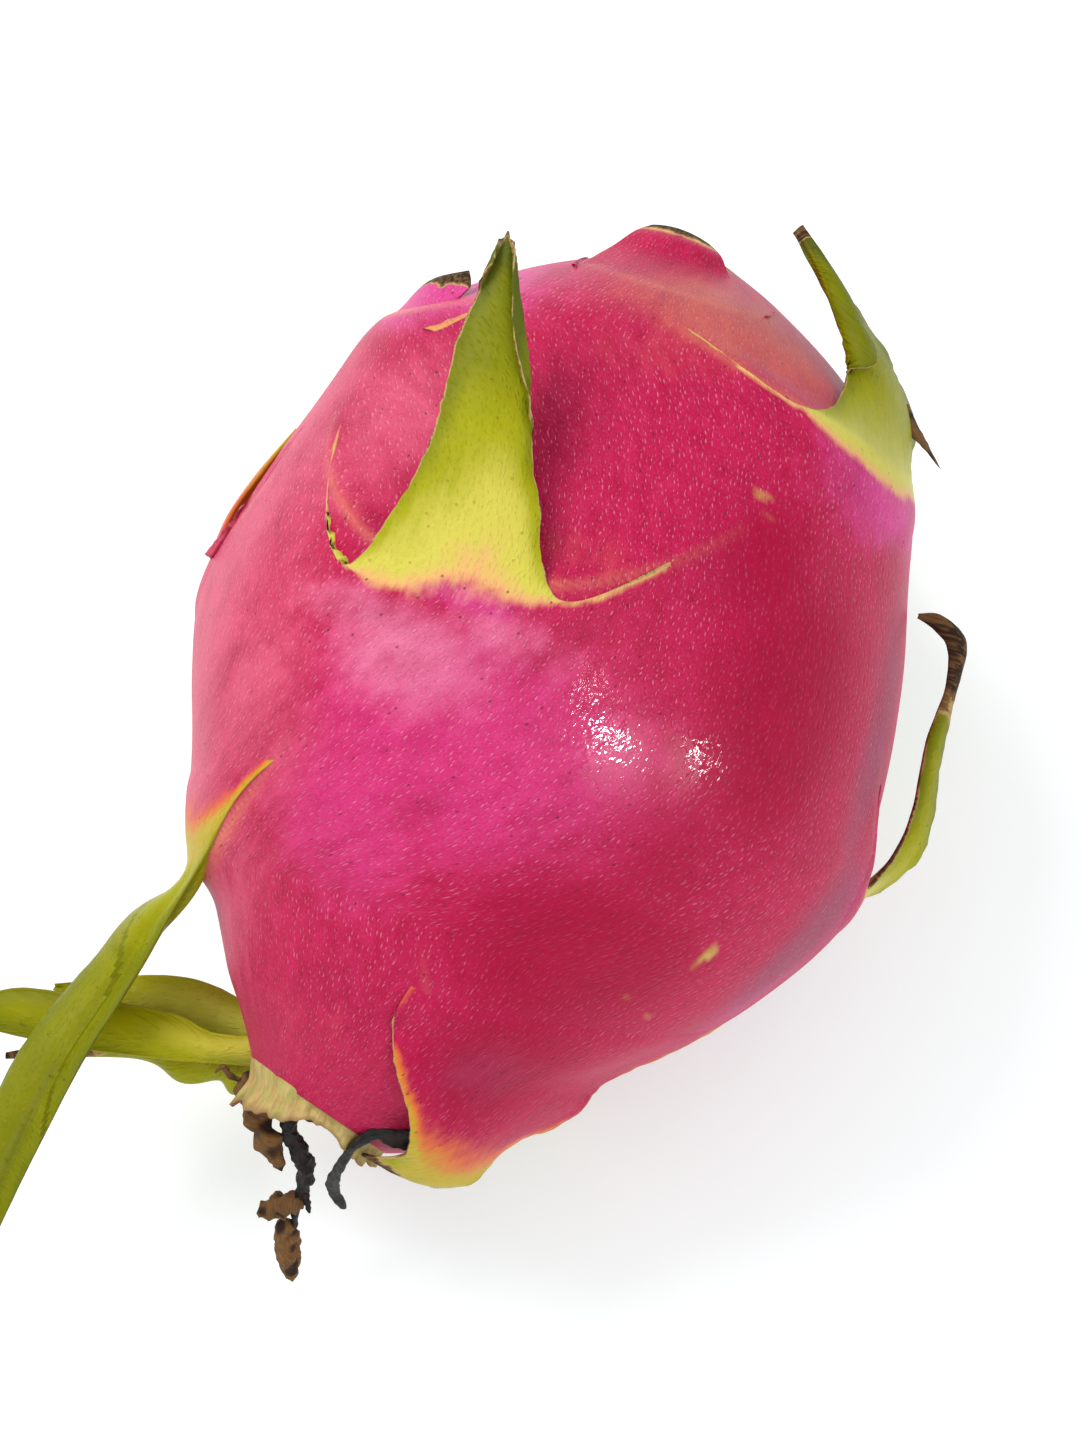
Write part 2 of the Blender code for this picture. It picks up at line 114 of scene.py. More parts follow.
# Station, angle, half width, rise, sweep, way (1 opens to the stem end) and glow behind the crest.
LIPS = {
    "scale_central": (63, 109, 40, 3.2, 20, 1, 0.4),
    "scale_upper_right": (99, 50, 46, 3, 6, 1, 0.35),
    "scale_right": (49, 2, 26, 1.3, 18, 1, 0.05),
    "fold_left_side": (61, 182, 28, 1.4, 14, 1, 0.6),
    "fold_left_shoulder": (98, 158, 34, 2.2, 6, 1, 0.5),
    "scale_back_left": (58, 222, 30, 2.4, 12, 1, 0.8),
    "scale_back_right": (60, 318, 30, 2.2, 12, 1, 0.8),
    "scale_under_left": (98, 225, 30, 2.2, 8, 1, 0.8),
    "scale_under_right": (99, 300, 34, 2.4, 8, 1, 0.8),
    "scale_long_left": (24, 168, 38, 2.6, 18, -1, 0.6),
    "scale_bottom": (8, 58, 38, 2.4, 14, -1, 0.15),
    "fold_stem_top": (110, 98, 38, 1.2, 4, 1, 0),
}
LIP_RISE, LIP_DROP = 20.0, 2.6
# Station, angle, length, width and depth.
FLATS = [(72, 2, 26, 34, 2.3), (68, 182, 11, 30, 1.6)]
END_SLANT, END_SLANT_LENGTH = 0.255, 14.0


def sections_at(station):
    """Side, top and table radius and left shift, smoothly between the rows of SECTIONS."""
    x = SECTIONS[:, 0]
    s = np.clip(np.asarray(station, float), x[0], x[-1])
    i = np.clip(np.searchsorted(x, s, "right") - 1, 0, len(x) - 2)
    gap = x[i + 1] - x[i]
    t = (s - x[i]) / gap
    slopes = np.gradient(SECTIONS[:, 1:], x, axis=0)
    slopes[1:-1] = (SECTIONS[2:, 1:] - SECTIONS[:-2, 1:]) / (x[2:] - x[:-2])[:, None]
    y1, y2 = SECTIONS[i, 1:], SECTIONS[i + 1, 1:]
    t, gap = t[..., None], gap[..., None]
    t2, t3 = t * t, t * t * t
    out = y1 * (2 * t3 - 3 * t2 + 1) + y2 * (3 * t2 - 2 * t3)
    return out + gap * (slopes[i] * (t3 - 2 * t2 + t) + slopes[i + 1] * (t3 - t2))


def turn_gap(angle, middle):
    """Signed difference of angles, in degrees, from -180 to 180."""
    return (angle - middle + 180.0) % 360.0 - 180.0


def lip_parts(station, angle, lip):
    """Window across a lip and how far behind its crest a point lies, in millimetres."""
    lip_station, lip_angle, half_width, _, sweep, way, _ = lip
    across = turn_gap(angle, lip_angle) / half_width
    window = np.where(np.abs(across) < 1.0, np.cos(np.clip(across, -1, 1) * math.pi / 2), 0.0)
    crest = lip_station + sweep * across * across
    return np.maximum(window, 0.0) ** 1.2, (station - crest) * way


def rind_radius(station, angle, level=()):
    """Skin radius in millimetres. Behind the crests of the lips named level, it doesn't drop."""
    side, top, table, _ = np.moveaxis(sections_at(station), -1, 0)
    c, s = np.cos(np.radians(angle)), np.sin(np.radians(angle))
    radius = side * c * c + np.where(s > 0, top, table) * s * s
    for name, lip in LIPS.items():
        window, behind = lip_parts(station, angle, lip)
        rise = smooth(1.0 + behind / LIP_RISE) ** 1.5
        if name not in level:
            rise = np.where(behind < 0, rise, bell(behind / LIP_DROP))
        radius = radius + lip[3] * window * rise
    for middle, turn, length, width, depth in FLATS:
        away = ((station - middle) / length) ** 2 + (turn_gap(angle, turn) / width) ** 2
        radius = radius - depth * np.exp(-away)
    return radius


def slanted(station, right):
    """Stations near the blossom end, moved with the slant of that end."""
    fade = 1.0 - smooth(station / END_SLANT_LENGTH)
    return station - END_SLANT * fade * (right + SECTIONS[0, 4])


def on_skin(station, angle, height=0.0):
    """World points over the skin."""
    radius = rind_radius(station, angle) + height
    turn = np.radians(angle)
    right = radius * np.cos(turn) - sections_at(station)[..., 3]
    return place(slanted(station, right), right, radius * np.sin(turn))


print("widest", float(rind_radius(np.array(60.0), np.array(0.0)).round(2)), "mm from the axis")

# %% [markdown]
# The camera comes before the surfaces, so that every render shows the photograph's view: it
# looks down steeply on the fruit, from a little in front. A long lens keeps the fruit's outline
# close to a parallel view, as the photograph does.

# %% Camera
CAMERA_ELEVATION = math.radians(68.0)
CAMERA_DISTANCE = 0.423
AIM_STATION = 57.0
LENS, SENSOR = 80.0, 36.0

view = Vector((0.0, math.cos(CAMERA_ELEVATION), -math.sin(CAMERA_ELEVATION)))
aim = Vector(place(AIM_STATION, 0.0, 0.0))
camera_data = bpy.data.cameras.new("photo_camera")
camera_data.lens = LENS
camera_data.sensor_width = SENSOR
camera = bpy.data.objects.new("photo_camera", camera_data)
camera.location = aim - view * CAMERA_DISTANCE
camera.rotation_euler = view.to_track_quat("-Z", "Y").to_euler()
bpy.context.scene.collection.objects.link(camera)
bpy.context.scene.camera = camera
print("camera at", [round(c, 3) for c in camera.location])

# %% [markdown]
# Three helpers make every mesh: one turns arrays into a Blender mesh, one stores a number for each
# point as an attribute that a material can read, and one links the piece and rides it on the root
# body. Attributes carry what a picture would otherwise paint, such as how green a scale is, and they
# follow the surface wherever it goes.

# %% Mesh helpers


def grid_faces(rows, columns, closed):
    """Quads of a grid of points, joined round when it is closed."""
    across = columns if closed else columns - 1
    i, j = np.meshgrid(np.arange(rows - 1), np.arange(across), indexing="ij")
    k = (j + 1) % columns
    quads = np.stack((i * columns + j, i * columns + k, (i + 1) * columns + k, (i + 1) * columns + j), -1)
    return quads.reshape(-1, 4)


def tube_faces(rings, sides):
    """Quads round a tube and one face on each end."""
    faces = grid_faces(rings, sides, True).tolist()
    faces.append(list(range(sides))[::-1])
    faces.append([(rings - 1) * sides + k for k in range(sides)])
    return faces


def make_mesh(name, points, faces, values):
    """A smooth mesh with an attribute of one or three numbers a point for each entry of values."""
    mesh = bpy.data.meshes.new(name)
    mesh.from_pydata(points.reshape(-1, 3).tolist(), [], [list(map(int, f)) for f in faces])
    for key, data in values.items():
        data = np.asarray(data, float)
        threefold = data.size == len(mesh.vertices) * 3
        layer = mesh.attributes.new(key, "FLOAT_VECTOR" if threefold else "FLOAT", "POINT")
        layer.data.foreach_set("vector" if threefold else "value", data.reshape(-1))
    mesh.shade_smooth()
    return mesh


def add_piece(name, mesh, material, slot, *nodes):
    """Links a finished piece, gives it its material and rides it on the fruit's body; slot is not used."""
    piece = bpy.data.objects.new(name, mesh)
    bpy.context.scene.collection.objects.link(piece)
    mesh.materials.append(material)
    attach(piece, "root")
    if nodes:
        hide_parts(*nodes)
    print(name, len(mesh.vertices), "points")


def ripple(points, size, seed=0.0):
    """Smooth noise from -1 to 1 at each point, with bumps of about size in metres."""
    flat = points.reshape(-1, 3) / size
    values = [noise.noise(Vector((x + seed, y - seed, z + 2 * seed))) for x, y, z in flat]
    return np.array(values).reshape(points.shape[:-1])


# %% [markdown]
# A material here is a node tree written by short helpers, so that each recipe reads as a list of
# steps. The patterns that several materials share are node groups: the pale flecks of the skin, the
# soft clouds of colour, and the brown dry edge. A group puts out only masks and values. The shader
# stays in the material, where the export can read it.

# %% Node helpers


class Recipe:
    """Adds nodes to a tree and links them in one call."""

    def __init__(self, tree):
        self.tree = tree

    def fill(self, node, values):
        """Links an output to each input that is named, or sets a plain value there."""
        for socket, value in values.items():
            if isinstance(value, bpy.types.NodeSocket):
                self.tree.links.new(value, node.inputs[socket])
            else:
                node.inputs[socket].default_value = value

    def node(self, kind, values=(), **settings):
        made = self.tree.nodes.new(kind)
        for key, value in settings.items():
            setattr(made, key, value)
        self.fill(made, dict(values))
        return made

    def math(self, operation, a, b=0.0, c=0.0, clamp=False):
        made = self.node("ShaderNodeMath", {0: a, 1: b, 2: c}, operation=operation, use_clamp=clamp)
        return made.outputs[0]

    def mix(self, factor, a, b):
        made = self.node("ShaderNodeMix", {0: factor, 6: a, 7: b}, data_type="RGBA", clamp_factor=True)
        return made.outputs[2]

    def ramp(self, value, low, high, out_low=0.0, out_high=1.0):
        made = self.node("ShaderNodeMapRange", {0: value, 1: low, 2: high, 3: out_low, 4: out_high})
        made.interpolation_type = "SMOOTHSTEP"
        return made.outputs[0]

    def attribute(self, name, output="Fac"):
        return self.node("ShaderNodeAttribute", attribute_name=name).outputs[output]

    def scaled(self, vector, scale):
        return self.node("ShaderNodeVectorMath", {0: vector, 1: scale}, operation="MULTIPLY").outputs[0]

    def noise(self, vector, scale, detail=3.0, rough=0.5, output="Fac"):
        values = {"Vector": vector, "Scale": scale, "Detail": detail, "Roughness": rough}
        return self.node("ShaderNodeTexNoise", values).outputs[output]


def new_group(name, inputs, outputs):
    """A shader node group with named float or vector sockets."""
    group = bpy.data.node_groups.new(name, "ShaderNodeTree")
    for title, kind, value in inputs:
        socket = group.interface.new_socket(name=title, in_out="INPUT", socket_type=kind)
        if value is not None:
            socket.default_value = value
    for title, kind in outputs:
        group.interface.new_socket(name=title, in_out="OUTPUT", socket_type=kind)
    taken = group.nodes.new("NodeGroupInput").outputs
    return group, Recipe(group), taken, group.nodes.new("NodeGroupOutput")


FLOAT, VECTOR = "NodeSocketFloat", "NodeSocketVector"


def new_material(name):
    material = bpy.data.materials.new(name)
    material.use_nodes = True
    material.node_tree.nodes.clear()
    recipe = Recipe(material.node_tree)
    shader = recipe.node("ShaderNodeBsdfPrincipled")
    output = recipe.node("ShaderNodeOutputMaterial")
    material.node_tree.links.new(shader.outputs[0], output.inputs[0])
    return material, recipe, shader


def use_group(recipe, group, **values):
    return recipe.node("ShaderNodeGroup", values, node_tree=group).outputs


def rgb(red, green, blue):
    """A display colour, 0 to 255, as the linear colour that a shader takes."""
    channels = [v / 255.0 for v in (red, green, blue)]
    return (*[c / 12.92 if c < 0.04045 else ((c + 0.055) / 1.055) ** 2.4 for c in channels], 1.0)


# %% [markdown]
# Pitaya skin is covered with fine pale flecks, each about half a millimetre long and drawn out
# along the fruit, with a few dark pin-pricks and small corky scars among them. One cell of a
# Voronoi texture holds one fleck, and the way from the cell's middle gives it its long shape. The
# cells are laid in the skin's own coordinates in millimetres, along and around, so the flecks keep
# their direction on every side.

# %% Skin pattern groups
flecks, r, gin, gout = new_group(
    "pale_flecks",
    [("Skin", VECTOR, None), ("Spacing", FLOAT, 1.1), ("Long", FLOAT, 0.34), ("Wide", FLOAT, 0.12)],
    [("Mask", FLOAT), ("Height", FLOAT)],
)
wander = r.noise(gin["Skin"], 0.3, 2.0, output="Color")
moved = {0: wander, 1: (1.6, 1.6, 0.0), 2: gin["Skin"]}
moved = r.node("ShaderNodeVectorMath", moved, operation="MULTIPLY_ADD").outputs[0]
cell = {"Vector": moved, "Scale": r.math("DIVIDE", 1.0, gin["Spacing"]), "Randomness": 0.85}
cell = r.node("ShaderNodeTexVoronoi", cell, voronoi_dimensions="2D")
away = r.node("ShaderNodeVectorMath", {0: moved, 1: cell.outputs["Position"]}, operation="SUBTRACT")
away = r.node("ShaderNodeSeparateXYZ", {0: away.outputs[0]}).outputs
chance = r.node("ShaderNodeSeparateColor", {0: cell.outputs["Color"]}).outputs
size = r.ramp(chance[0], 0.0, 1.0, 0.6, 1.15)
down = r.math("DIVIDE", away[0], r.math("MULTIPLY", gin["Long"], size))
over = r.math("DIVIDE", away[1], r.math("MULTIPLY", gin["Wide"], size))
reach = r.math("SQRT", r.math("ADD", r.math("MULTIPLY", down, down), r.math("MULTIPLY", over, over)))
mask = r.math("MULTIPLY", r.ramp(reach, 0.35, 1.25, 1.0, 0.0), r.ramp(chance[1], 0.0, 0.6, 0.3, 1.0))
r.fill(gout, {"Mask": mask, "Height": r.ramp(reach, 0.2, 2.4, 1.0, 0.0)})

pits, r, gin, gout = new_group(
    "dark_pits",
    [("Skin", VECTOR, None), ("Spacing", FLOAT, 5.0), ("Size", FLOAT, 0.05), ("Share", FLOAT, 0.5)],
    [("Mask", FLOAT)],
)
cell = {"Vector": gin["Skin"], "Scale": r.math("DIVIDE", 1.0, gin["Spacing"]), "Randomness": 1.0}
cell = r.node("ShaderNodeTexVoronoi", cell, voronoi_dimensions="2D")
chance = r.node("ShaderNodeSeparateColor", {0: cell.outputs["Color"]}).outputs
near = r.ramp(cell.outputs["Distance"], r.math("MULTIPLY", gin["Size"], 0.4), gin["Size"], 1.0, 0.0)
chosen = r.math("LESS_THAN", chance[2], gin["Share"])
r.fill(gout, {"Mask": r.math("MULTIPLY", near, chosen)})

clouds, r, gin, gout = new_group(
    "colour_clouds",
    [("Skin", VECTOR, None), ("Size", FLOAT, 8.0), ("Contrast", FLOAT, 1.0)],
    [("Mask", FLOAT)],
)
soft = r.noise(gin["Skin"], r.math("DIVIDE", 1.0, gin["Size"]), 4.0, 0.55)
centred = r.math("SUBTRACT", soft, 0.5)
r.fill(gout, {"Mask": r.math("MULTIPLY_ADD", centred, gin["Contrast"], 0.5, clamp=True)})

dry_edge, r, gin, gout = new_group(
    "dry_edge",
    [("Skin", VECTOR, None), ("Dry", FLOAT, 0.0)],
    [("Tan", FLOAT), ("Brown", FLOAT), ("Dark", FLOAT)],
)
blotch = r.math("SUBTRACT", r.noise(gin["Skin"], 0.7, 4.0, 0.6), 0.5)
spot = r.math("SUBTRACT", r.noise(gin["Skin"], 2.2, 2.0, 0.5), 0.5)
amount = r.math("ADD", gin["Dry"], r.math("MULTIPLY", blotch, 0.7))
spotted = r.math("ADD", amount, r.math("MULTIPLY", spot, 0.8))
r.fill(gout, {"Tan": r.ramp(amount, 0.42, 0.62), "Brown": r.ramp(spotted, 0.66, 0.95)})
r.fill(gout, {"Dark": r.ramp(r.math("ADD", amount, spot), 0.98, 1.25)})
print("groups", [g.name for g in bpy.data.node_groups])

# %% [markdown]
# One material covers the rind and the scales, because on the real fruit they are one tissue: the
# pink runs over a scale's root and turns orange, yellow and green towards its tip. The attribute
# green says how far that has gone, and the others place the broad tints of the rind. Each tint has
# two colours, mixed by a fine mottle, and its edge is broken by the clouds, so that none shows as a
# band. Where the skin is wet it has a clear coat with a gentle relief of its own, so that a glint
# breaks up as it does on a film of water, while the skin below keeps its fine, rough relief.

# %% Skin material
TINTS = {
    # rose: the skin's own pinker tone, partly painted sheen of the upper-left light on the top
    "rose_and_sheen": ((192, 36, 102), (210, 58, 122)),
    "deep": ((158, 1, 48), (172, 4, 62)),
    "salmon": ((196, 62, 96), (210, 86, 116)),
    # pale: paler skin under the tall scale, partly painted sheen of the upper-left light on the top
    "pale": ((208, 96, 136), (222, 122, 156)),
    # violet: the skin's own tint by the scales' roots, and painted sheen in the bands along the right side
    "violet_and_sheen": ((196, 48, 124), (212, 74, 144)),
    # plum: painted shade where the side turns from the light
    "plum_shade": ((142, 40, 78), (162, 60, 92)),
    "dusk": ((180, 64, 66), (198, 88, 76)),
}
RELIEF = 0.0002

skin_material, r, shader = new_material("pitaya_skin")
skin = r.attribute("skin", "Vector")
leaf = r.attribute("leaf", "Vector")
cloud = use_group(r, clouds, Skin=skin, Size=9.0, Contrast=1.6)["Mask"]
mottle = use_group(r, clouds, Skin=skin, Size=2.4, Contrast=1.7)["Mask"]
jitter = r.math("SUBTRACT", cloud, 0.5)
grain = r.math("SUBTRACT", mottle, 0.5)


def tint(name, low=0.2, high=0.85):
    """A mask from an attribute, with a broken edge."""
    broken = r.math("MULTIPLY_ADD", jitter, 0.4, r.attribute(name))
    return r.ramp(r.math("MULTIPLY_ADD", grain, 0.12, broken), low, high)


def mottled(one, other):
    return r.mix(mottle, rgb(*one), rgb(*other))


color = mottled((168, 8, 58), (196, 32, 86))
for name, (one, other) in TINTS.items():
    color = r.mix(tint(name), color, mottled(one, other))
shade = r.ramp(cloud, 0.15, 0.65, 0.5, 0.0)
color = r.mix(r.math("MULTIPLY", shade, 0.5), color, rgb(140, 4, 50))
glow_mask = r.math("MULTIPLY_ADD", jitter, 0.3, r.attribute("glow"))
color = r.mix(r.ramp(glow_mask, 0.15, 0.9, 0.0, 0.9), color, rgb(222, 132, 70))
color = r.mix(r.attribute("cream"), color, rgb(226, 160, 110))

green_raw = r.attribute("green")
streak = r.math("SUBTRACT", r.noise(r.scaled(leaf, (0.12, 1.0, 1.0)), 1.1, 3.0, 0.6), 0.5)
green = r.math("MULTIPLY_ADD", jitter, 0.16, r.math("MULTIPLY_ADD", grain, 0.07, green_raw))
green = r.math("MULTIPLY_ADD", streak, 0.10, green)
fine = r.math("SUBTRACT", r.noise(skin, 3.2, 3.0, 0.7), 0.5)
color = r.mix(r.ramp(fine, -0.02, -0.2, 0.0, 0.4), color, rgb(132, 4, 44))
pale_grain = r.mix(tint("deep"), rgb(236, 110, 150), rgb(206, 40, 92))
color = r.mix(r.ramp(fine, 0.02, 0.2, 0.0, 0.18), color, pale_grain)
fleck = use_group(r, flecks, Skin=skin, Spacing=0.92, Long=0.26, Wide=0.095)
fleck_share = r.ramp(green, 0.05, 0.4, 0.5, 0.0)
fleck_color = r.mix(tint("deep"), rgb(232, 140, 164), rgb(204, 60, 102))
color = r.mix(r.math("MULTIPLY", fleck["Mask"], fleck_share), color, fleck_color)

warm = r.attribute("warm")
turning = r.mix(warm, rgb(222, 170, 110), rgb(214, 96, 44))
yellow = r.mix(warm, rgb(200, 192, 78), rgb(188, 160, 32))
color = r.mix(r.ramp(green, 0.10, 0.24), color, turning)
color = r.mix(r.ramp(green, 0.19, 0.36), color, yellow)
color = r.mix(r.ramp(green, 0.36, 0.66), color, mottled((146, 144, 0), (162, 160, 8)))
color = r.mix(r.ramp(green, 0.62, 0.92), color, mottled((108, 112, 0), (124, 126, 2)))
color = r.mix(r.ramp(green, 0.95, 1.15), color, rgb(84, 92, 24))
pit = use_group(r, pits, Skin=skin, Spacing=3.6, Size=0.06, Share=0.4)["Mask"]
pit_share = r.ramp(green, 0.2, 0.4, 0.65, 0.2)
color = r.mix(r.math("MULTIPLY", pit, pit_share), color, rgb(96, 36, 34))
color = r.mix(r.attribute("scar"), color, mottled((156, 108, 44), (214, 178, 96)))
dried = use_group(r, dry_edge, Skin=skin, Dry=r.attribute("dry"))
color = r.mix(dried["Tan"], color, rgb(176, 148, 92))
color = r.mix(dried["Brown"], color, rgb(112, 82, 48))
color = r.mix(dried["Dark"], color, rgb(52, 38, 28))
rough = r.math("MULTIPLY_ADD", mottle, 0.12, 0.34)
rough = r.math("MULTIPLY_ADD", dried["Tan"], 0.35, rough)
dimple = r.noise(skin, 1.3, 3.0, 0.6)
height = r.math("MULTIPLY_ADD", fleck["Height"], 0.55, r.math("MULTIPLY", dimple, 0.8))
height = r.math("SUBTRACT", height, r.math("MULTIPLY", pit, 0.8))
height = r.math("MULTIPLY_ADD", streak, 0.5, height)
height = r.math("MULTIPLY_ADD", fine, 0.5, height)
bump = r.node("ShaderNodeBump", {"Strength": 0.7, "Distance": RELIEF, "Height": height})
film = r.math("MULTIPLY_ADD", fleck["Height"], 0.12, r.noise(skin, 0.62, 2.0, 0.6))
film_bump = r.node("ShaderNodeBump", {"Strength": 0.5, "Distance": RELIEF, "Height": film})
looks = {
    "Base Color": color,
    "Roughness": rough,
    "Normal": bump.outputs[0],
    "Coat Normal": film_bump.outputs[0],
    "Coat Weight": r.math("MULTIPLY", r.attribute("wet"), 0.8),
    "Coat Roughness": 0.07,
    "Specular IOR Level": 0.12,
    "Subsurface Weight": 0.06,
    "Subsurface Radius": (1.0, 0.35, 0.3),
    "Subsurface Scale": 0.002,
}
r.fill(shader, looks)
print("skin material", len(r.tree.nodes), "nodes")

# %% [markdown]
# The broad tints follow what the photograph shows: salmon on the left, rose over the middle, deep
# red to the right of it, paler pink under the tall scale, violet at the right shoulder, plum where
# the side turns away, and a dusky brown-red beside the stem end. The rose and the paler pink are
# partly the skin's own tone and partly painted sheen of the upper-left light on the top. The violet
# is the skin's own tint by the scales' roots and painted sheen in bands along the right side. The
# plum is painted shade where the side turns from the light. Each is a soft patch with a middle on
# the skin and a size. They are worked out at every point of the mesh, which is lighter than a
# painted map and has no resolution to run out of.

# %% Tints of the skin
# Station, angle, length, width in degrees, and weight.
PATCHES = {
    # Rose over the top: partly the skin's own tone, partly painted sheen of the upper-left light.
    "rose_and_sheen": [
        (45, 100, 16, 34, 1), (34, 118, 12, 20, 0.9), (84, 96, 12, 26, 0.2),
        (54, 82, 9, 20, 0.5), (90, 50, 6, 16, 0.5),
    ],
    "deep": [
        (27, 66, 12, 30, 1), (64, 54, 20, 17, 1), (40, 64, 14, 18, 0.6),
        (78, 64, 12, 14, 0.8), (13, 58, 9, 30, 0.9),
    ],
    "salmon": [
        (45, 140, 18, 18, 0.7), (62, 172, 50, 32, 1), (82, 132, 16, 16, 0.75),
        (96, 228, 45, 50, 0.6), (26, 160, 22, 26, 0.7),
    ],
    # Paler pink under the tall scale: partly the skin's own tone, partly painted sheen on the lit top.
    "pale": [(56.5, 118, 4, 16, 0.7), (58, 100, 5, 16, 0.5), (53, 112, 8, 16, 0.75), (56, 74, 4, 10, 0.3)],
    # The first four are the tint by the scales' roots; the last two, in bands along the right side, are
    # painted sheen.
    "violet_and_sheen": [
        (95, 40, 7, 22, 1), (61.5, 108, 2.5, 12, 0.8), (50, 104, 9, 20, 0.35),
        (104, 150, 10, 34, 0.9), (38, 16, 18, 9, 0.7), (64, 16, 16, 7, 0.5),
    ],
    # Painted shade: on the right side, near the blossom end and underneath.
    "plum_shade": [(68, 27, 22, 9, 0.8), (40, 20, 14, 11, 0.95), (11, 60, 5, 22, 0.5), (60, 318, 60, 40, 0.6)],
    "dusk": [(109, 78, 8, 34, 1), (10, 112, 8, 46, 0.3), (100, 92, 8, 20, 0.4), (71, 92, 5, 12, 0.4)],
}
# Station, angle, length and width in millimetres, and weight.
SCARS = [(33.1, 43.9, 1.7, 1.1, 1), (86.6, 68.5, 0.7, 1.6, 0.5), (84.4, 66.5, 0.6, 0.5, 0.5)]
SCARS += [(24.1, 40, 0.5, 0.7, 0.4), (17.9, 46, 0.8, 0.5, 0.35), (24.9, 50, 0.4, 0.6, 0.35)]
WET_SPOTS = [(50.5, 80.0, 4.5, 6.0), (52.5, 66.0, 4.0, 5.5)]


def skin_values(station, angle):
    """Attributes that place the tints, for points of the skin or of a scale's root."""
    values = {}
    for name, patches in PATCHES.items():
        total = np.zeros(np.broadcast(station, angle).shape)
        for middle, turn, length, width, weight in patches:
            away = ((station - middle) / length) ** 2 + (turn_gap(angle, turn) / width) ** 2
            total = np.maximum(total, weight * np.exp(-away))
        values[name] = total
    around = np.radians(angle) * rind_radius(np.clip(station, 25.0, 100.0), angle, LIPS)
    values["skin"] = np.stack((station, around, np.zeros_like(around)), -1)
    return values


print("tints", list(PATCHES))

# %% [markdown]
# The rind itself: a fine grid of points over the sections and lips, with a cap at each end. Behind
# each lip the skin drops into a crease that glows orange, and the lip's crest has a cream line. The
# stem end has a small woody dish where the fruit was cut from the plant.

# %% Rind
RINGS, SIDES, CAP_RINGS = 250, 300, 7
GLOW_LENGTH, CREAM_LENGTH = 2.8, 0.6
DISH_DEPTH = 1.2


def skin_waves(points, station):
    """Height in millimetres of the low waves of the skin, calm at both ends."""
    calm = smooth(station / 8.0) * smooth((RIND_END - station) / 8.0)
    return calm * (0.28 * ripple(points, 0.022, 3.0) + 0.08 * ripple(points, 0.008, 7.0))


angles = np.arange(SIDES) * 360.0 / SIDES
steps = np.linspace(0.0, 1.0, RINGS)
stations = RIND_END * (0.45 * steps + 0.55 * (0.5 - 0.5 * np.cos(math.pi * steps)))
S, A = np.meshgrid(stations, angles, indexing="ij")
grid = on_skin(S, A, skin_waves(on_skin(S, A), S))
caps = []
for end, inward in ((0, 1.0), (-1, -1.0)):
    centre = grid[end].mean(0)
    shrink = np.linspace(0.06, 1.0, CAP_RINGS + 1)[:-1]
    dish = inward * DISH_DEPTH * MM * (1.0 - shrink**2)
    caps.append(centre + (grid[end] - centre) * shrink[:, None, None] + ALONG * dish[:, None, None])
points = np.concatenate((caps[0], grid, caps[1][::-1]))
station_all = np.concatenate((np.zeros((CAP_RINGS, SIDES)), S, np.full((CAP_RINGS, SIDES), RIND_END)))
angle_all = np.broadcast_to(angles, station_all.shape)
points[..., 2] = np.maximum(points[..., 2], 0.0)

values = skin_values(station_all, angle_all)
blank = np.zeros(station_all.shape)
glow, cream, scars, wet = (blank.copy() for _ in range(4))
for lip in LIPS.values():
    window, behind = lip_parts(station_all, angle_all, lip)
    fade = np.where(behind > 0, bell(behind / GLOW_LENGTH), 0.0)
    glow = np.maximum(glow, lip[6] * window**0.5 * fade)
    crest = bell(behind / CREAM_LENGTH) * (window > 0.02)
    cream = np.maximum(cream, (0.15 + 0.35 * lip[6]) * window**0.5 * crest)
for middle, turn, length, width, weight in SCARS:
    reach = np.radians(turn_gap(angle_all, turn)) * rind_radius(np.array(middle), np.array(turn))
    spread = ((station_all - middle) / length) ** 2 + (reach / width) ** 2
    scars = np.maximum(scars, weight * smooth(1.5 - 1.4 * spread + 1.3 * ripple(points, 0.0008, 5.0)))
for middle, turn, length, width in WET_SPOTS:
    reach = np.radians(turn_gap(angle_all, turn)) * rind_radius(np.array(middle), np.array(turn))
    wet = np.maximum(wet, np.exp(-(((station_all - middle) / length) ** 2) - (reach / width) ** 2))
stem = smooth((station_all - RIND_END + 3.0) / 3.0)
values.update(glow=glow, cream=cream, scar=scars, wet=wet, green=0.25 * stem, dry=0.9 * stem)
values.update(warm=blank + 0.5, leaf=values["skin"])
rind_mesh = make_mesh("rind", points, tube_faces(len(points), SIDES), values)
add_piece("rind", rind_mesh, skin_material, "rind", "fruit")

# %% [markdown]
# A scale is a thin fleshy leaf. Three guide curves draw it, its left margin, its midrib and its
# right margin, and each row of points runs across them. At its root the leaf is pressed to the
# swelling of the rind, so that skin and leaf meet with no seam, and from there it rises a little
# with its distance from the root. A leaf without a withered margin stays sunk where it lies flat.

# %% Leaf between three guides
ROOT_SINK, ROOT_RISE, ROOT_REACH = -0.35, 0.7, 6.0
PRESS_START, PRESS_LENGTH = 0.6, 1.2
ARM_POWER, BLADE_POWER = 4.0, 2.0


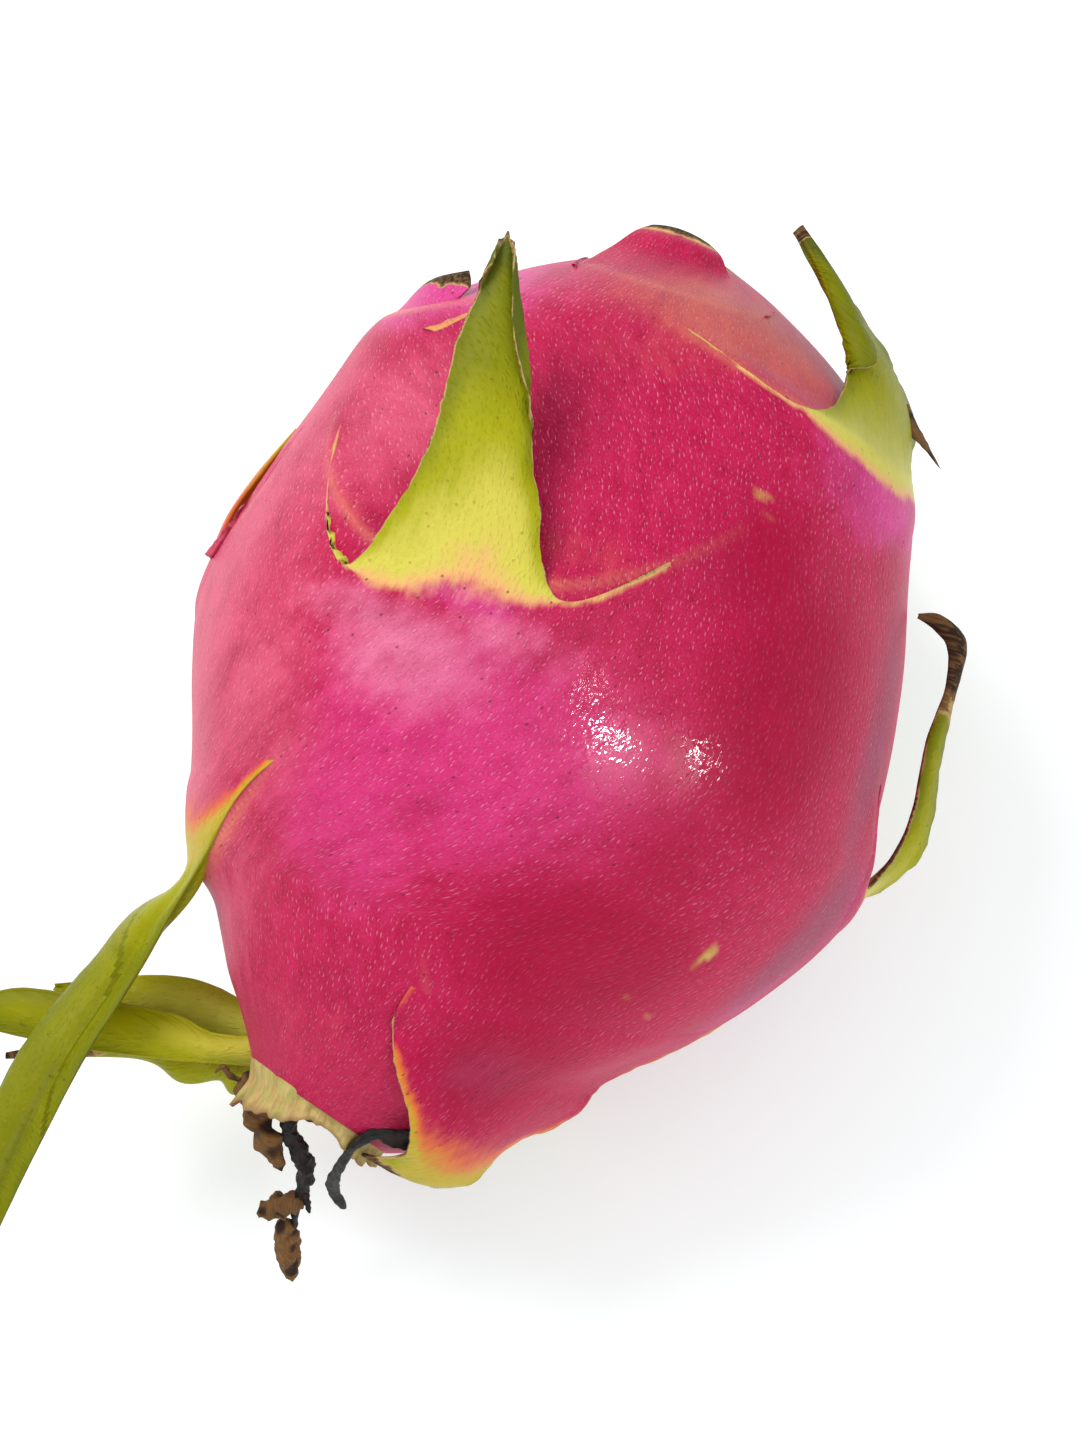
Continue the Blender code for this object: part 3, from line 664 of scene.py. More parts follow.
def guide_curve(knots, t):
    """Catmull-Rom curve through knots, for an array t from 0 to 1."""
    knots = np.asarray(knots, float)
    padded = np.vstack((2 * knots[0] - knots[1], knots, 2 * knots[-1] - knots[-2]))
    x = np.clip(t, 0.0, 1.0) * (len(knots) - 1)
    i = np.minimum(x.astype(int), len(knots) - 2)
    f = (x - i)[:, None]
    p0, p1, p2, p3 = (padded[i + k] for k in range(4))
    bend = 2 * p0 - 5 * p1 + 4 * p2 - p3
    return 0.5 * (2 * p1 + (p2 - p0) * f + bend * f**2 + (3 * p1 - p0 - 3 * p2 + p3) * f**3)


def on_fruit(points):
    """True station, centre shift, angle and radius of world points round the fruit's axis."""
    station, right, up = unplace(points)
    true = station.copy()
    for _ in range(3):
        fade = 1.0 - smooth(true / END_SLANT_LENGTH)
        true = station + END_SLANT * fade * (right + SECTIONS[0, 4])
    shift = sections_at(true)[..., 3]
    angle = np.degrees(np.arctan2(up, right + shift))
    return station, true, shift, angle, np.hypot(up, right + shift)


def pressed(points, share, lift, name):
    """Points moved by their share onto the rind, as it goes on level behind this scale's lip."""
    station, true, shift, angle, radius = on_fruit(points)
    turn = np.radians(angle)
    bare = rind_radius(true, angle, (name,))
    waves = skin_waves(place(station, bare * np.cos(turn) - shift, bare * np.sin(turn)), true) + lift
    radius = radius * (1.0 - share) + (bare + waves) * share
    beside = smooth((true - 1.0) / 4.0) * smooth((RIND_END - 2.0 - true) / 4.0)
    short = np.maximum(rind_radius(true, angle) + waves - radius, 0.0)
    radius = radius + short * beside
    return place(station, radius * np.cos(turn) - shift, radius * np.sin(turn))


def surface_normals(points):
    normal = np.cross(np.gradient(points, axis=1), np.gradient(points, axis=0))
    return normal / np.maximum(np.linalg.norm(normal, axis=-1, keepdims=True), 1e-12)


def nearest(points, line):
    """Distance in millimetres from each point to the nearest point of a line."""
    gaps = points[..., None, :] - line
    return np.sqrt((gaps**2).sum(-1)).min(-1) / MM


def flat_leaf(name, guides, V, U, rise):
    """The leaf before its margins fold: points, normals, gap to its root, chord, and if it is flipped."""
    left, middle, right = (guide_curve(knots, V[:, 0])[:, None] for knots in guides)
    K = V * (len(guides[0]) - 1)
    power = (ARM_POWER - (ARM_POWER - BLADE_POWER) * smooth(K / 1.2))[..., None]
    u = U[..., None]
    flat = middle + (right - left) * (u / 2) + ((right + left) / 2 - middle) * np.abs(u) ** power
    root_gap = nearest(flat, flat[0])
    lift = ROOT_SINK + rise * smooth(root_gap / ROOT_REACH)
    flat = pressed(flat, 1.0 - smooth((K - PRESS_START) / PRESS_LENGTH), lift, name)
    normal = surface_normals(flat)
    row, column = len(V) // 3, U.shape[1] // 2
    outward = flat[row, column] - place(unplace(flat[row, column])[0], 0.0, 0.0)
    flipped = bool(normal[row, column] @ outward < 0)
    return flat, -normal if flipped else normal, root_gap, right - left, flipped


print("leaves are pressed", ROOT_SINK, "to", ROOT_SINK + ROOT_RISE, "mm over the skin")

# %% [markdown]
# A margin can fold over to the outside, as drying leaves do, and every withered margin is finely
# crinkled, as the tissue there dies first. The leaf is then doubled into a closed body, thick along
# its midrib and thin at its margins and tip. Each point also gets its greenness and dryness, from
# how far along the leaf it is and how near a margin.

# %% Scale maker
SCALE_ROWS, SCALE_COLUMNS = 72, 46
FOLD_GAP, EDGE_THICKNESS = 0.7, 0.4
ARM_WIDTH, FRILL_WIDTH, MARGIN_WIDTH = 1.1, 1.3, 1.6
RAG_SIZE, FINE_SIZE, SAG_SIZE = 0.0042, 0.0013, 0.014
RAG_LIFT, FINE_LIFT, SAG_LIFT = 0.32, 0.14, 0.3
RAG_FRAY, FINE_FRAY = 0.25, 0.22
MARGIN_GREEN = 0.18
LEAF_LENGTH = 60.0


def fold_shares(across, along, left_fold, right_fold):
    """How much of each half turns over, from (along, share) pairs for each side."""
    turns = []
    for pairs in (left_fold, right_fold):
        spots, shares = zip(*pairs) if pairs else ((0.0, 1.0), (0.0, 0.0))
        turns.append(np.interp(along, spots, shares))
    return np.where(across < 0, turns[0], turns[1])


def leaf_faces(rows, columns, flipped):
    """Faces of two grids of points, front and back, joined round their rim."""
    count = rows * columns
    front = grid_faces(rows, columns, False)
    rim = list(range(columns))
    rim += [i * columns + columns - 1 for i in range(1, rows)]
    rim += [(rows - 1) * columns + k for k in range(columns - 2, -1, -1)]
    rim += [i * columns for i in range(rows - 2, 0, -1)]
    wall = np.array([(a, a + count, b + count, b) for a, b in zip(rim, rim[1:] + rim[:1])])
    faces = np.concatenate((front, front[:, ::-1] + count, wall))
    return (faces[:, ::-1] if flipped else faces).tolist()


def folded(flat, normal, across, share, U):
    """Points and normals after the margins turned over, places across, and how far past the crease."""
    stretched = np.abs(U) * (1.0 + share)
    past = np.maximum(stretched - 1.0, 0.0)
    u = np.clip(np.sign(U) * (np.minimum(stretched, 1.0) - past), -1.0, 1.0)
    points, lean = np.empty_like(flat), np.empty_like(flat)
    for i in range(len(flat)):
        for k in range(3):
            points[i, :, k] = np.interp(u[i], across, flat[i, :, k])
            lean[i, :, k] = np.interp(u[i], across, normal[i, :, k])
    return points, lean, u, past


def scale_leaf(
    name,
    guides,
    green,
    warm=0.3,
    left_fold=(),
    right_fold=(),
    bulge=(0.0, 1.0, 0.0),
    thick=1.5,
    dead=(1.1, 0.1),
    light=(0.0, 0.0, 0.0),
    arms=((0.3, 0.2), (0.3, 0.2)),
    withered=1.0,
    seed=1.0,
    rows=SCALE_ROWS,
    columns=SCALE_COLUMNS,
    last=0.985,
):
    """A closed leaf between its guides, from the swelling of the rind to its tip.

    green gives the greenness from the root to the tip, and warm how orange it turns between. bulge
    is the middle, half width and height in mm of a rounded back, dead where the dry tip starts and
    how soon it is dry, and light a paler patch, painted light on the side of a cupped blade that
    faces the lamp: across, along and how much. arms has the greenness and dryness of the two margins
    that run back along the skin, and withered says how crinkled, green and dry the margins of the
    blade are. last is how far along its guides the leaf ends.
    """
    across = np.sin(np.linspace(-math.pi / 2, math.pi / 2, columns))
    V, U = np.meshgrid(np.linspace(0.0, last, rows), across, indexing="ij")
    K = V * (len(guides[0]) - 1)
    rise = ROOT_RISE if withered else 0.0
    flat, normal, root_gap, chord, flipped = flat_leaf(name, guides, V, U, rise)
    chord_length = np.linalg.norm(chord, axis=-1)
    width = (chord_length / MM / 2) * np.ones_like(V)
    share = fold_shares(U, V, left_fold, right_fold)
    points, lean, u, past = folded(flat, normal, across, share, U)
    turned = smooth(past / 0.06)

    margin = np.concatenate((flat[:, 0], flat[:, -1]))
    edge = (1.0 - np.abs(U)) * (1.0 + share) * width
    near_root = 1.0 - smooth((K - 1.0) / 0.5)
    edge = edge * (1.0 - near_root) + np.minimum(edge, nearest(flat, margin)) * near_root
    loose = smooth((root_gap - 0.5) / 3.0)
    frill = bell(edge / FRILL_WIDTH) * loose * withered * smooth(width / 3.0)
    rag, fine = ripple(flat, RAG_SIZE, seed), ripple(flat, FINE_SIZE, seed + 4.0)
    sag = ripple(flat, SAG_SIZE, seed + 9.0)
    centre, reach, height = bulge
    rounded = np.sqrt(np.clip(1.0 - ((u - centre) / reach) ** 2, 0.0, 1.0))
    raised = height * rounded * smooth((K - 0.9) / 0.8)
    raised += turned * FOLD_GAP * (1.0 + 0.6 * np.sin(np.clip(past, 0.0, 1.0) * math.pi))
    raised += frill * (RAG_LIFT * rag + FINE_LIFT * fine) + SAG_LIFT * sag * smooth((K - 1.0) / 1.5)
    points = points + lean * (raised * MM)[..., None]
    fray = np.sign(U) * frill * (FINE_FRAY * fine + RAG_FRAY * rag) * smooth((K - 0.7) / 0.6)
    points = points + chord / np.maximum(chord_length[..., None], 1e-9) * (fray * MM)[..., None]
    body = (1.0 - np.abs(U) ** 3) * (1.0 - 0.6 * V) * (1.0 - smooth((V - 0.88) / 0.12))
    depth = (EDGE_THICKNESS + (thick - EDGE_THICKNESS) * body * (1.0 - 0.6 * turned)) * MM
    inner = points - lean * (depth * np.where(turned > 0.5, -1.0, 1.0))[..., None]
    both = np.stack((points, inner))
    both[..., 2] = np.maximum(both[..., 2], 0.0)

    _, true, _, angle, _ = on_fruit(flat)
    values = skin_values(true, angle)
    grown = np.interp(V, np.linspace(0.0, 1.0, len(green)), green)
    # light is a paler patch where the cupped blade faces the lamp: painted light
    lit_patch_u, lit_patch_v, amount = light
    grown = grown - amount * np.exp(-(((U - lit_patch_u) / 0.6) ** 2) - ((V - lit_patch_v) / 0.2) ** 2)
    rim = bell(edge / MARGIN_WIDTH) * smooth((K - 0.9) / 0.5)
    grown = grown + MARGIN_GREEN * min(withered * 2.0, 1.0) * rim
    back_arm = 1.0 - smooth((K - 0.8) / 0.5)
    arm_green, arm_dry = (np.where(U < 0, low, high) for low, high in zip(*arms))
    arm = bell(edge / ARM_WIDTH) * back_arm * smooth(root_gap / 1.5)
    grown = np.maximum(grown, arm_green * arm)
    dry = bell(edge / (0.26 + 0.3 * back_arm)) * (0.75 + 0.6 * rag) * loose
    dry = dry * (withered + back_arm * (arm_dry - withered))
    start, length = dead
    dry = np.maximum(dry, 1.15 * smooth((V + 0.05 * rag + 0.04 * fine - start) / length))
    zero = np.zeros_like(V)
    leaf = np.stack((V * LEAF_LENGTH, U * width, zero), -1)
    fields = {**values, "leaf": leaf, "green": grown, "dry": np.maximum(dry, 0.0), "warm": zero + warm}
    fields.update(glow=zero, cream=zero, scar=zero, wet=zero)
    sides = {key: np.stack((data, data)) for key, data in fields.items()}
    sides["green"][1] = np.maximum(grown + 0.1, (0.3 + 0.4 * V) * min(withered * 3.0, 1.0))
    mesh = make_mesh(name, both, leaf_faces(rows, columns, flipped), sides)
    add_piece(name, mesh, skin_material, "rind", "fruit")


print("a scale is", SCALE_ROWS, "by", SCALE_COLUMNS, "points on each side")

# %% [markdown]
# The scales that the photograph shows are drawn one by one. A knot of two numbers is a place on the
# skin, a station and an angle round the axis, and a knot of three is free: station, right and up.
# The first knot on each guide is its root, the second its foot, where the margin leaves the skin,
# and the rest climb to the tip, which the three guides share.

# %% Scales in view


def skin_at(station, angle, height=0.0):
    return on_skin(np.array(float(station)), np.array(float(angle)), height)


def guide_rows(*rows, tip=()):
    """World points of rows of knots, which end in one tip where it is given."""
    ends = [tip] if tip else []
    return [[skin_at(*knot) if len(knot) == 2 else place(*knot) for knot in row + ends] for row in rows]


CENTRAL = guide_rows(
    [(84, 147), (61.5, 125.5), (75, -24, 46.6), (90, -24.7, 48.2)],
    [(52, 108), (60, 109), (75, -16.2, 49.6), (90, -20, 49.8)],
    [(80, 73), (64.5, 92), (75, -9.4, 49), (90, -16.2, 49.5)],
    tip=(104.6, -23.6, 48),
)
UPPER_RIGHT = guide_rows(
    [(107, 102), (99.5, 66), (108.5, 21.5, 22.5), (118.4, 14.8, 24)],
    [(88, 42), (96, 43), (108, 28, 19), (117.6, 18.6, 22.4)],
    [(104, 2), (100, 18), (111, 31.5, 10), (118.4, 20.8, 18.6)],
    tip=(124.2, 9, 24),
)
RIGHT_SIDE = guide_rows(
    [(62, 20), (50, 9), (57, 49.2, 2.6), (63.2, 49.4, 2.6), (72, 48.3, 2), (79, 48.4, 1.4)]
    + [(84.5, 47, 1), (86.4, 44.5, 0.8)],
    [(41, 0), (48, 0), (56, 50.6, 0.4), (62, 51.2, 0.8), (71.6, 49.8, 1), (78.8, 49.3, 1)]
    + [(85.2, 48.2, 1), (87.6, 44.8, 1.4)],
    [(66, -30), (50, -9), (55, 52, -2), (61, 52.9, -1.6), (71.1, 51.2, -1), (78.5, 50.1, -0.4)]
    + [(86.4, 49.4, 0), (88.4, 45, 0.6)],
    tip=(87.2, 41.6, 1),
)
BOTTOM = guide_rows(
    [(30, 2), (17, 8), (9, 20, 2), (4.4, 14.9, 2), (0.8, 12.8, 1), (-2.6, 10.8, 2), (-4.6, 5, 4)],
    [(22, 54), (14, 56), (8.5, 10, 17.4), (2.1, 9.6, 13.4), (-1.6, 8.6, 9.6), (-3.8, 6.6, 7.6)]
    + [(-4.4, 2.4, 7.4)],
    [(20, 93), (14, 93), (9, -3.6, 21.9), (2.6, 0.8, 18.6), (-1.2, 2, 14.4), (-2.4, 1.2, 11.6)]
    + [(-3.2, -0.6, 9)],
    tip=(-3.6, -3.6, 7),
)
BOTTOM[0][1] = skin_at(17, 8, 1.0)
LONG_LEFT = guide_rows(
    [(41, 129), (30, 147), (13, -37.5, 4), (-10, -42, 1)],
    [(38, 168), (25, 170), (10, -41, -1), (-14, -46.5, -2)],
    [(40, 202), (27, 192), (12, -43, -5), (-12, -50, -4)],
    tip=(-50, -46.5, -8),
)
FLUSH = ((0.0, 0.0), (0.0, 0.0))
scale_leaf(
    "scale_central",
    CENTRAL,
    (-0.25, 0.0, 0.42, 0.62, 0.78, 0.92, 1.0),
    warm=0.08,
    left_fold=((0.86, 0.0), (0.93, 0.4), (0.975, 0.0)),
    right_fold=((0.6, 0), (0.68, 0.08), (0.71, 0.32), (0.77, 0.5), (0.87, 0.5), (0.93, 0.4), (0.975, 0)),
    # The paler patch on the right of the blade is painted light on the lit side of its cup.
    light=(0.35, 0.42, 0.2),
    arms=((0.2, 0.3), (0.24, 0.95)),
    dead=(0.965, 0.04),
    last=0.997,
    seed=1.5,
)
scale_leaf(
    "scale_upper_right",
    UPPER_RIGHT,
    (-0.5, -0.1, 0.5, 0.72, 0.8, 0.86, 1.1),
    warm=0.05,
    left_fold=((0.53, 0.0), (0.59, 0.7), (0.64, 1.0)),
    dead=(0.92, 0.04),
    arms=((0.26, 0.5), (0.2, 0.1)),
    last=0.997,
    seed=2.5,
)
scale_leaf(
    "scale_right",
    RIGHT_SIDE,
    (-0.2, 0.5, 0.7, 0.75, 0.7, 0.8),
    dead=(0.52, 0.14),
    bulge=(0.0, 1.0, 0.5),
    arms=FLUSH,
    seed=3.5,
)
scale_leaf(
    "scale_bottom",
    BOTTOM,
    (-0.5, -0.25, 0.04, 0.15, 0.27, 0.4, 0.5, 0.6),
    warm=0.9,
    dead=(0.82, 0.1),
    arms=((0.3, 0.1), (0.2, 0.0)),
    seed=4.5,
    rows=90,
)
scale_leaf(
    "scale_long_left",
    LONG_LEFT,
    (-0.1, 0.16, 0.6, 0.8, 0.86, 0.9, 0.9),
    warm=1.0,
    bulge=(0.35, 0.75, 2.0),
    thick=2.6,
    withered=0.35,
    arms=((0.34, 0.1), (0.3, 0.1)),
    seed=5.5,
    rows=100,
)

# %% [markdown]
# At the left of the navel three narrow straps leave the fruit sideways. They are long scales too,
# seen almost edge on. Each is drawn from its two margins, and its midrib stands up a little between
# them, so that the strap has a rounded back.

# %% Straps beside the navel
RIB_RISE = 1.0


def strap_guides(low_margin, high_margin, tip):
    """Two margins in the open and a rib that stands up between them."""
    low, high = np.array(low_margin, float), np.array(high_margin, float)
    rib = (low + high) / 2 + (0.0, 0.0, RIB_RISE)
    return [[place(*p) for p in (*row, tip)] for row in (low, rib, high)]


YELLOW_STRAP = strap_guides(
    [(6, -11, -4), (3.2, -19, -5), (1.6, -24.5, -5.5), (-0.8, -33, -6.5), (-2.8, -42, -8)]
    + [(-4.2, -53, -10)],
    [(9, -12, -4), (6.4, -20, -4), (4.4, -27, -5), (5.2, -33, -6), (3.2, -45, -8), (1.2, -54, -9)],
    (-5, -62, -10),
)
UPPER_STRAP = strap_guides(
    [(6, -15, -9), (5, -22, -10), (4.4, -28, -11), (3.8, -33, -11.5), (2.6, -38.5, -12.5), (2, -44, -13)],
    [(11, -16, -8), (9.6, -23, -9), (10.4, -28.5, -9.5), (10.2, -33, -10), (8.6, -38.5, -11)]
    + [(6, -44, -12)],
    (3.4, -50, -13),
)
LOWER_STRAP = strap_guides(
    [(0.8, -13, -8), (0.4, -19.5, -9), (-1.8, -22, -9.5), (-0.6, -24.4, -10), (-2.6, -29, -11)]
    + [(-1.6, -36, -12)],
    [(7, -12, -7), (5, -19.5, -8), (4, -22, -9), (3.6, -24.4, -9.5), (3, -29, -10.5), (2, -36, -11.5)],
    (-8, -54, -14),
)
STRAPS = {
    # The yellow and upper straps keep a low greenness, so they come out pale yellow-green: painted light
    # that makes up for the shade they lie in.
    "strap_yellow": (YELLOW_STRAP, (0.24, 0.28, 0.36, 0.55, 0.66, 0.75)),
    "strap_upper": (UPPER_STRAP, (0.3, 0.36, 0.38, 0.4, 0.46, 0.6)),
    "strap_lower": (LOWER_STRAP, (0.34, 0.42, 0.46, 0.48, 0.52, 0.6)),
}
STRAP_LOOKS = {
    "strap_yellow": {"bulge": (0, 0.9, 0.8), "withered": 0.4},
    # No warmth keeps the upper strap yellow instead of olive-brown: painted light against its shade.
    "strap_upper": {"bulge": (0, 0.9, 0.8), "warm": 0.0, "withered": 0.3},
    "strap_lower": {"dead": (0.84, 0.1), "withered": 0.4},
}
for k, (name, (strap, green_steps)) in enumerate(STRAPS.items()):
    scale_leaf(name, strap, green_steps, seed=6.5 + k, **STRAP_LOOKS[name])

# %% [markdown]
# Three low scales lie along the silhouette, at the stem end, at the left shoulder and on the left
# side. Their blades hug the rind, so that they show as a fold of skin with a dried or coloured edge,
# and they end blunt, where the tissue broke away.

# %% Folds along the silhouette
TOP_FOLD = guide_rows(
    [(115, 142), (111, 129), (116.5, -12.6, 15), (120.2, -10.4, 13.2), (122.4, -8.6, 11.4)],
    [(102, 98), (109, 98), (116.2, -4.5, 18.6), (120.4, -4.6, 15.6), (122.8, -4.8, 12.6)],
    [(116, 54), (112.5, 68), (118, 3.8, 14.2), (120.8, 1.4, 13.6), (122.6, -0.6, 11.4)],
)
LEFT_FOLD = guide_rows(
    [(94, 196), (96, 184), (100.5, -36, 8), (103.8, -33.4, 15)],
    [(84, 162), (94, 158), (100, -34, 17.6), (103.6, -31.4, 20.4)],
    [(106, 122), (95, 137), (99.5, -29, 23.8), (103.2, -27.4, 23.6)],
    tip=(105.6, -28.2, 21.8),
)
SIDE_FOLD = guide_rows(
    [(84, 208), (62, 199), (68, -46.6, -12), (76, -45.6, -8)],
    [(51, 184), (60, 184), (68, -48.8, -5), (76, -47.2, -4)],
    [(86, 156), (62.5, 170), (69, -48.2, 1), (76.5, -46.4, 0)],
    tip=(84, -44.2, -2),
)
scale_leaf(
    "fold_stem_top",
    TOP_FOLD,
    (-0.6, -0.6, -0.5, 0.05, 0.5),
    dead=(0.79, 0.14),
    arms=FLUSH,
    withered=0.0,
    seed=9.5,
    last=1.0,
)
scale_leaf(
    "fold_left_shoulder",
    LEFT_FOLD,
    (-0.6, -0.5, -0.3, -0.1, 0.2),
    dead=(0.62, 0.12),
    arms=((0.0, 0.0), (0.15, 0.0)),
    withered=0.0,
    seed=10.5,
)
scale_leaf(
    "fold_left_side",
    SIDE_FOLD,
    (-0.5, -0.1, 0.14, 0.22, 0.24),
    warm=0.9,
    arms=FLUSH,
    withered=0.12,
    thick=2.2,
    seed=11.5,
)

# %% [markdown]
# The other scales stand on the sides that the photograph hides. A plain scale needs only its foot,
# its width, its length and how far it stands off, and a function draws the three guides from them,
# so that the back of the fruit is as finished as the front.

# %% Scales on the other sides


def plain_guides(foot, angle, half_width, length, way, lift, lean=0.0, arm=9.0):
    """Guides of a scale from its foot, angle, half width in degrees, length, way and how far it lifts."""
    guides = []
    for side in (-1.0, 0.0, 1.0):
        edge, reach = abs(side), half_width * side
        root = skin_at(foot + way * arm if edge else foot - way * 8.0, angle + reach * 1.45)
        rows = [root, skin_at(foot - way * 2.0 * (1.0 - edge), angle + reach)]
        base = float(rind_radius(np.array(float(foot)), np.array(float(angle))))
        shift = float(sections_at(foot)[3])
        for part, width in ((0.3, 0.74), (0.66, 0.4), (1.0, 0.0)):
            turn = math.radians(angle + lean * part + reach * width)
            off = base + 1.5 + lift * part**1.6 - edge * (1.2 - part)
            out, up = off * math.cos(turn) - shift, off * math.sin(turn)
            rows.append(place(foot + way * length * part, out, up))
        guides.append(rows)
    return guides


PLAIN = {
    "scale_back_left": (58, 222, 15, 42, 1, 3.0, -6.0),
    "scale_back_right": (60, 318, 15, 40, 1, -3.0, 10.0),
    "scale_under_left": (98, 225, 19, 24, 1, -5.0),
    "scale_under_right": (99, 300, 20, 26, 1, -6.0),
    "scale_under_navel": (15, 244, 26, 17, -1, -4.0, 0.0, 6.0),
    "scale_right_navel": (15, 312, 28, 15, -1, -4.0, 0.0, 6.0),
    "scale_stem_right": (111, 322, 24, 9, 1, -9.0, 0.0, 2.0),
    "scale_stem_under": (112, 255, 26, 10, 1, -9.0, 0.0, 2.0),
}
PLAIN_GREEN = (-0.3, 0.0, 0.4, 0.6, 0.8, 0.95)
PLAIN_LOOKS = {"dead": (0.9, 0.1), "arms": ((0.2, 0.1), (0.2, 0.1)), "rows": 52, "columns": 34}
for k, (name, numbers) in enumerate(PLAIN.items()):
    scale_leaf(name, plain_guides(*numbers), PLAIN_GREEN, seed=12.5 + k, **PLAIN_LOOKS)

# %% [markdown]
# The dried flower has three kinds of tissue. The collar is thin and papery, tan with some green
# left in it. The styles have shrivelled to black cords, and crumbs of petal have gone brown. One
# node group gives wrinkles and blotches to all three, read from each piece's own coordinates, and
# each material chooses its colours and how strongly the wrinkles stand out.

# %% Materials of the dried flower
wrinkles, r, gin, gout = new_group(
    "dry_wrinkles",
    [("Place", VECTOR, None), ("Size", FLOAT, 1.0), ("Stretch", FLOAT, 4.0)],
    [("Blotch", FLOAT), ("Fibre", FLOAT), ("Height", FLOAT)],
)
scale = r.math("DIVIDE", 1.0, gin["Size"])
split = r.node("ShaderNodeSeparateXYZ", {0: gin["Place"]}).outputs
shrunk = r.math("DIVIDE", split[0], gin["Stretch"])
drawn = r.node("ShaderNodeCombineXYZ", {0: shrunk, 1: split[1], 2: split[2]})
blotch = r.noise(gin["Place"], r.math("MULTIPLY", scale, 0.45), 4.0, 0.6)
fibre = r.noise(drawn.outputs[0], r.math("MULTIPLY", scale, 1.6), 4.0, 0.65)
r.fill(gout, {"Blotch": r.ramp(blotch, 0.36, 0.64), "Fibre": r.ramp(fibre, 0.35, 0.65)})
r.fill(gout, {"Height": r.math("MULTIPLY_ADD", fibre, 0.7, r.math("MULTIPLY", blotch, 0.6))})


def dry_material(name, colors, size, stretch, roughness, specular, depth):
    """Dried tissue from four colours: two grounds, the fibre's dark and the tint of rims, hollows and
    creases.
    """
    material, r, shader = new_material(name)
    where = r.attribute("skin", "Vector")
    look = use_group(r, wrinkles, Place=where, Size=size, Stretch=stretch)
    color = r.mix(look["Blotch"], rgb(*colors[0]), rgb(*colors[1]))
    color = r.mix(r.math("MULTIPLY", look["Fibre"], 0.6), color, rgb(*colors[2]))
    color = r.mix(r.attribute("edge"), color, rgb(*colors[3]))
    rough = r.math("MULTIPLY_ADD", look["Fibre"], 0.15, roughness)
    bump = r.node("ShaderNodeBump", {"Strength": 0.8, "Distance": depth, "Height": look["Height"]})
    r.fill(shader, {"Base Color": color, "Roughness": rough, "Normal": bump.outputs[0]})
    r.fill(shader, {"Specular IOR Level": specular})
    return material


papery_colors = ((190, 172, 108), (158, 160, 84), (172, 118, 78), (120, 74, 44))
black_colors = ((20, 16, 14), (12, 10, 9), (42, 38, 36), (44, 28, 18))
brown_colors = ((132, 92, 46), (108, 84, 58), (88, 58, 36), (56, 38, 26))
papery = dry_material("papery_collar", papery_colors, 1.1, 5.0, 0.62, 0.25, 0.0003)
black_cord = dry_material("black_style", black_colors, 0.9, 6.0, 0.42, 0.3, 0.0003)
brown_crumb = dry_material("brown_petal", brown_colors, 0.8, 1.6, 0.75, 0.2, 0.0004)
print("dry materials", papery.name, black_cord.name, brown_crumb.name)

# %% [markdown]
# The collar is the torn rest of the flower tube. It is a ring of thin tissue that starts inside the
# rind, stands highest at its left and runs out to the right. Noise waves its wall and tears its
# rim, and the wall is doubled, so that it has a real edge.

# %% Collar
COLLAR_TURNS, COLLAR_RISE = 200, 26
COLLAR_ROOT, COLLAR_WALL = 10.5, 0.7
collar_middle = -SECTIONS[0, 4]

turn = np.linspace(0.0, 2 * math.pi, COLLAR_TURNS, endpoint=False)
up_wall = np.linspace(0.0, 1.0, COLLAR_RISE)
T, W = np.meshgrid(turn, up_wall)
ring_place = np.stack((np.cos(T) * 0.01, np.sin(T) * 0.01, W * 0.002), -1)
tear = ripple(ring_place, 0.0028, 2.0) * 0.7 + ripple(ring_place, 0.0011, 6.0) * 0.45
leftness = smooth((0.35 - np.cos(T)) / 1.2)
tall = 1.3 + 4.0 * leftness**1.2 + tear * (0.9 + 0.9 * leftness) + 1.4 * bell((T - 0.7) / 0.6)
flute = 0.16 * np.sin(13.0 * T + 3.0 * tear) + 0.1 * np.sin(23.0 * T + 4.0 * tear) + 1.2 * tear
reach = COLLAR_ROOT - 1.4 * smooth(W / 0.5) + 1.5 * leftness * W**1.5 + flute * 0.7 * smooth(W / 0.5)
walls = []
for inside in (0.0, 1.0):
    out = reach - COLLAR_WALL * inside * (1.0 - 0.4 * W)
    right = collar_middle + out * np.cos(T)
    station = 1.1 - (tall + 1.1) * W
    slant = station - END_SLANT * (right - collar_middle)
    walls.append(place(slant, right, out * np.sin(T)))
walls[1] = walls[1][::-1]
collar_points = np.concatenate(walls)
rows = len(collar_points)
collar_faces = grid_faces(rows, COLLAR_TURNS, True)
last_ring = (rows - 1) * COLLAR_TURNS
faces = collar_faces[:, ::-1].tolist()
for k in range(COLLAR_TURNS):
    after = (k + 1) % COLLAR_TURNS
    faces.append((k, after, last_ring + after, last_ring + k))
both_T, both_W = np.concatenate((T, T)), np.concatenate((W, W[::-1]))
where = np.stack((both_W * 5.0, both_T * COLLAR_ROOT, both_W * 0.0), -1)
# The torn rim takes the edge colour, and the whole inside wall takes 0.4 of it as painted shade in the
# collar's hollow.
rim = smooth((both_W - 0.8) / 0.2) * 0.55 + 0.4 * np.concatenate((np.zeros_like(W), np.ones_like(W)))
collar_mesh = make_mesh("collar", collar_points, faces, {"skin": where, "edge": rim})
add_piece("dried_collar", collar_mesh, papery, "dry_petal", "withered_flower_collar")

# %% [markdown]
# Cords and crumbs are tubes along a curve. Each has a radius at every knot, a flattened and
# twisting cross-section, and noise that grows with the radius, which makes creases on a cord and a
# crumbly outline on a petal. A tube keeps every piece closed, and the knots stay readable.

# %% Tube maker
RINGS_PER_KNOT = 14


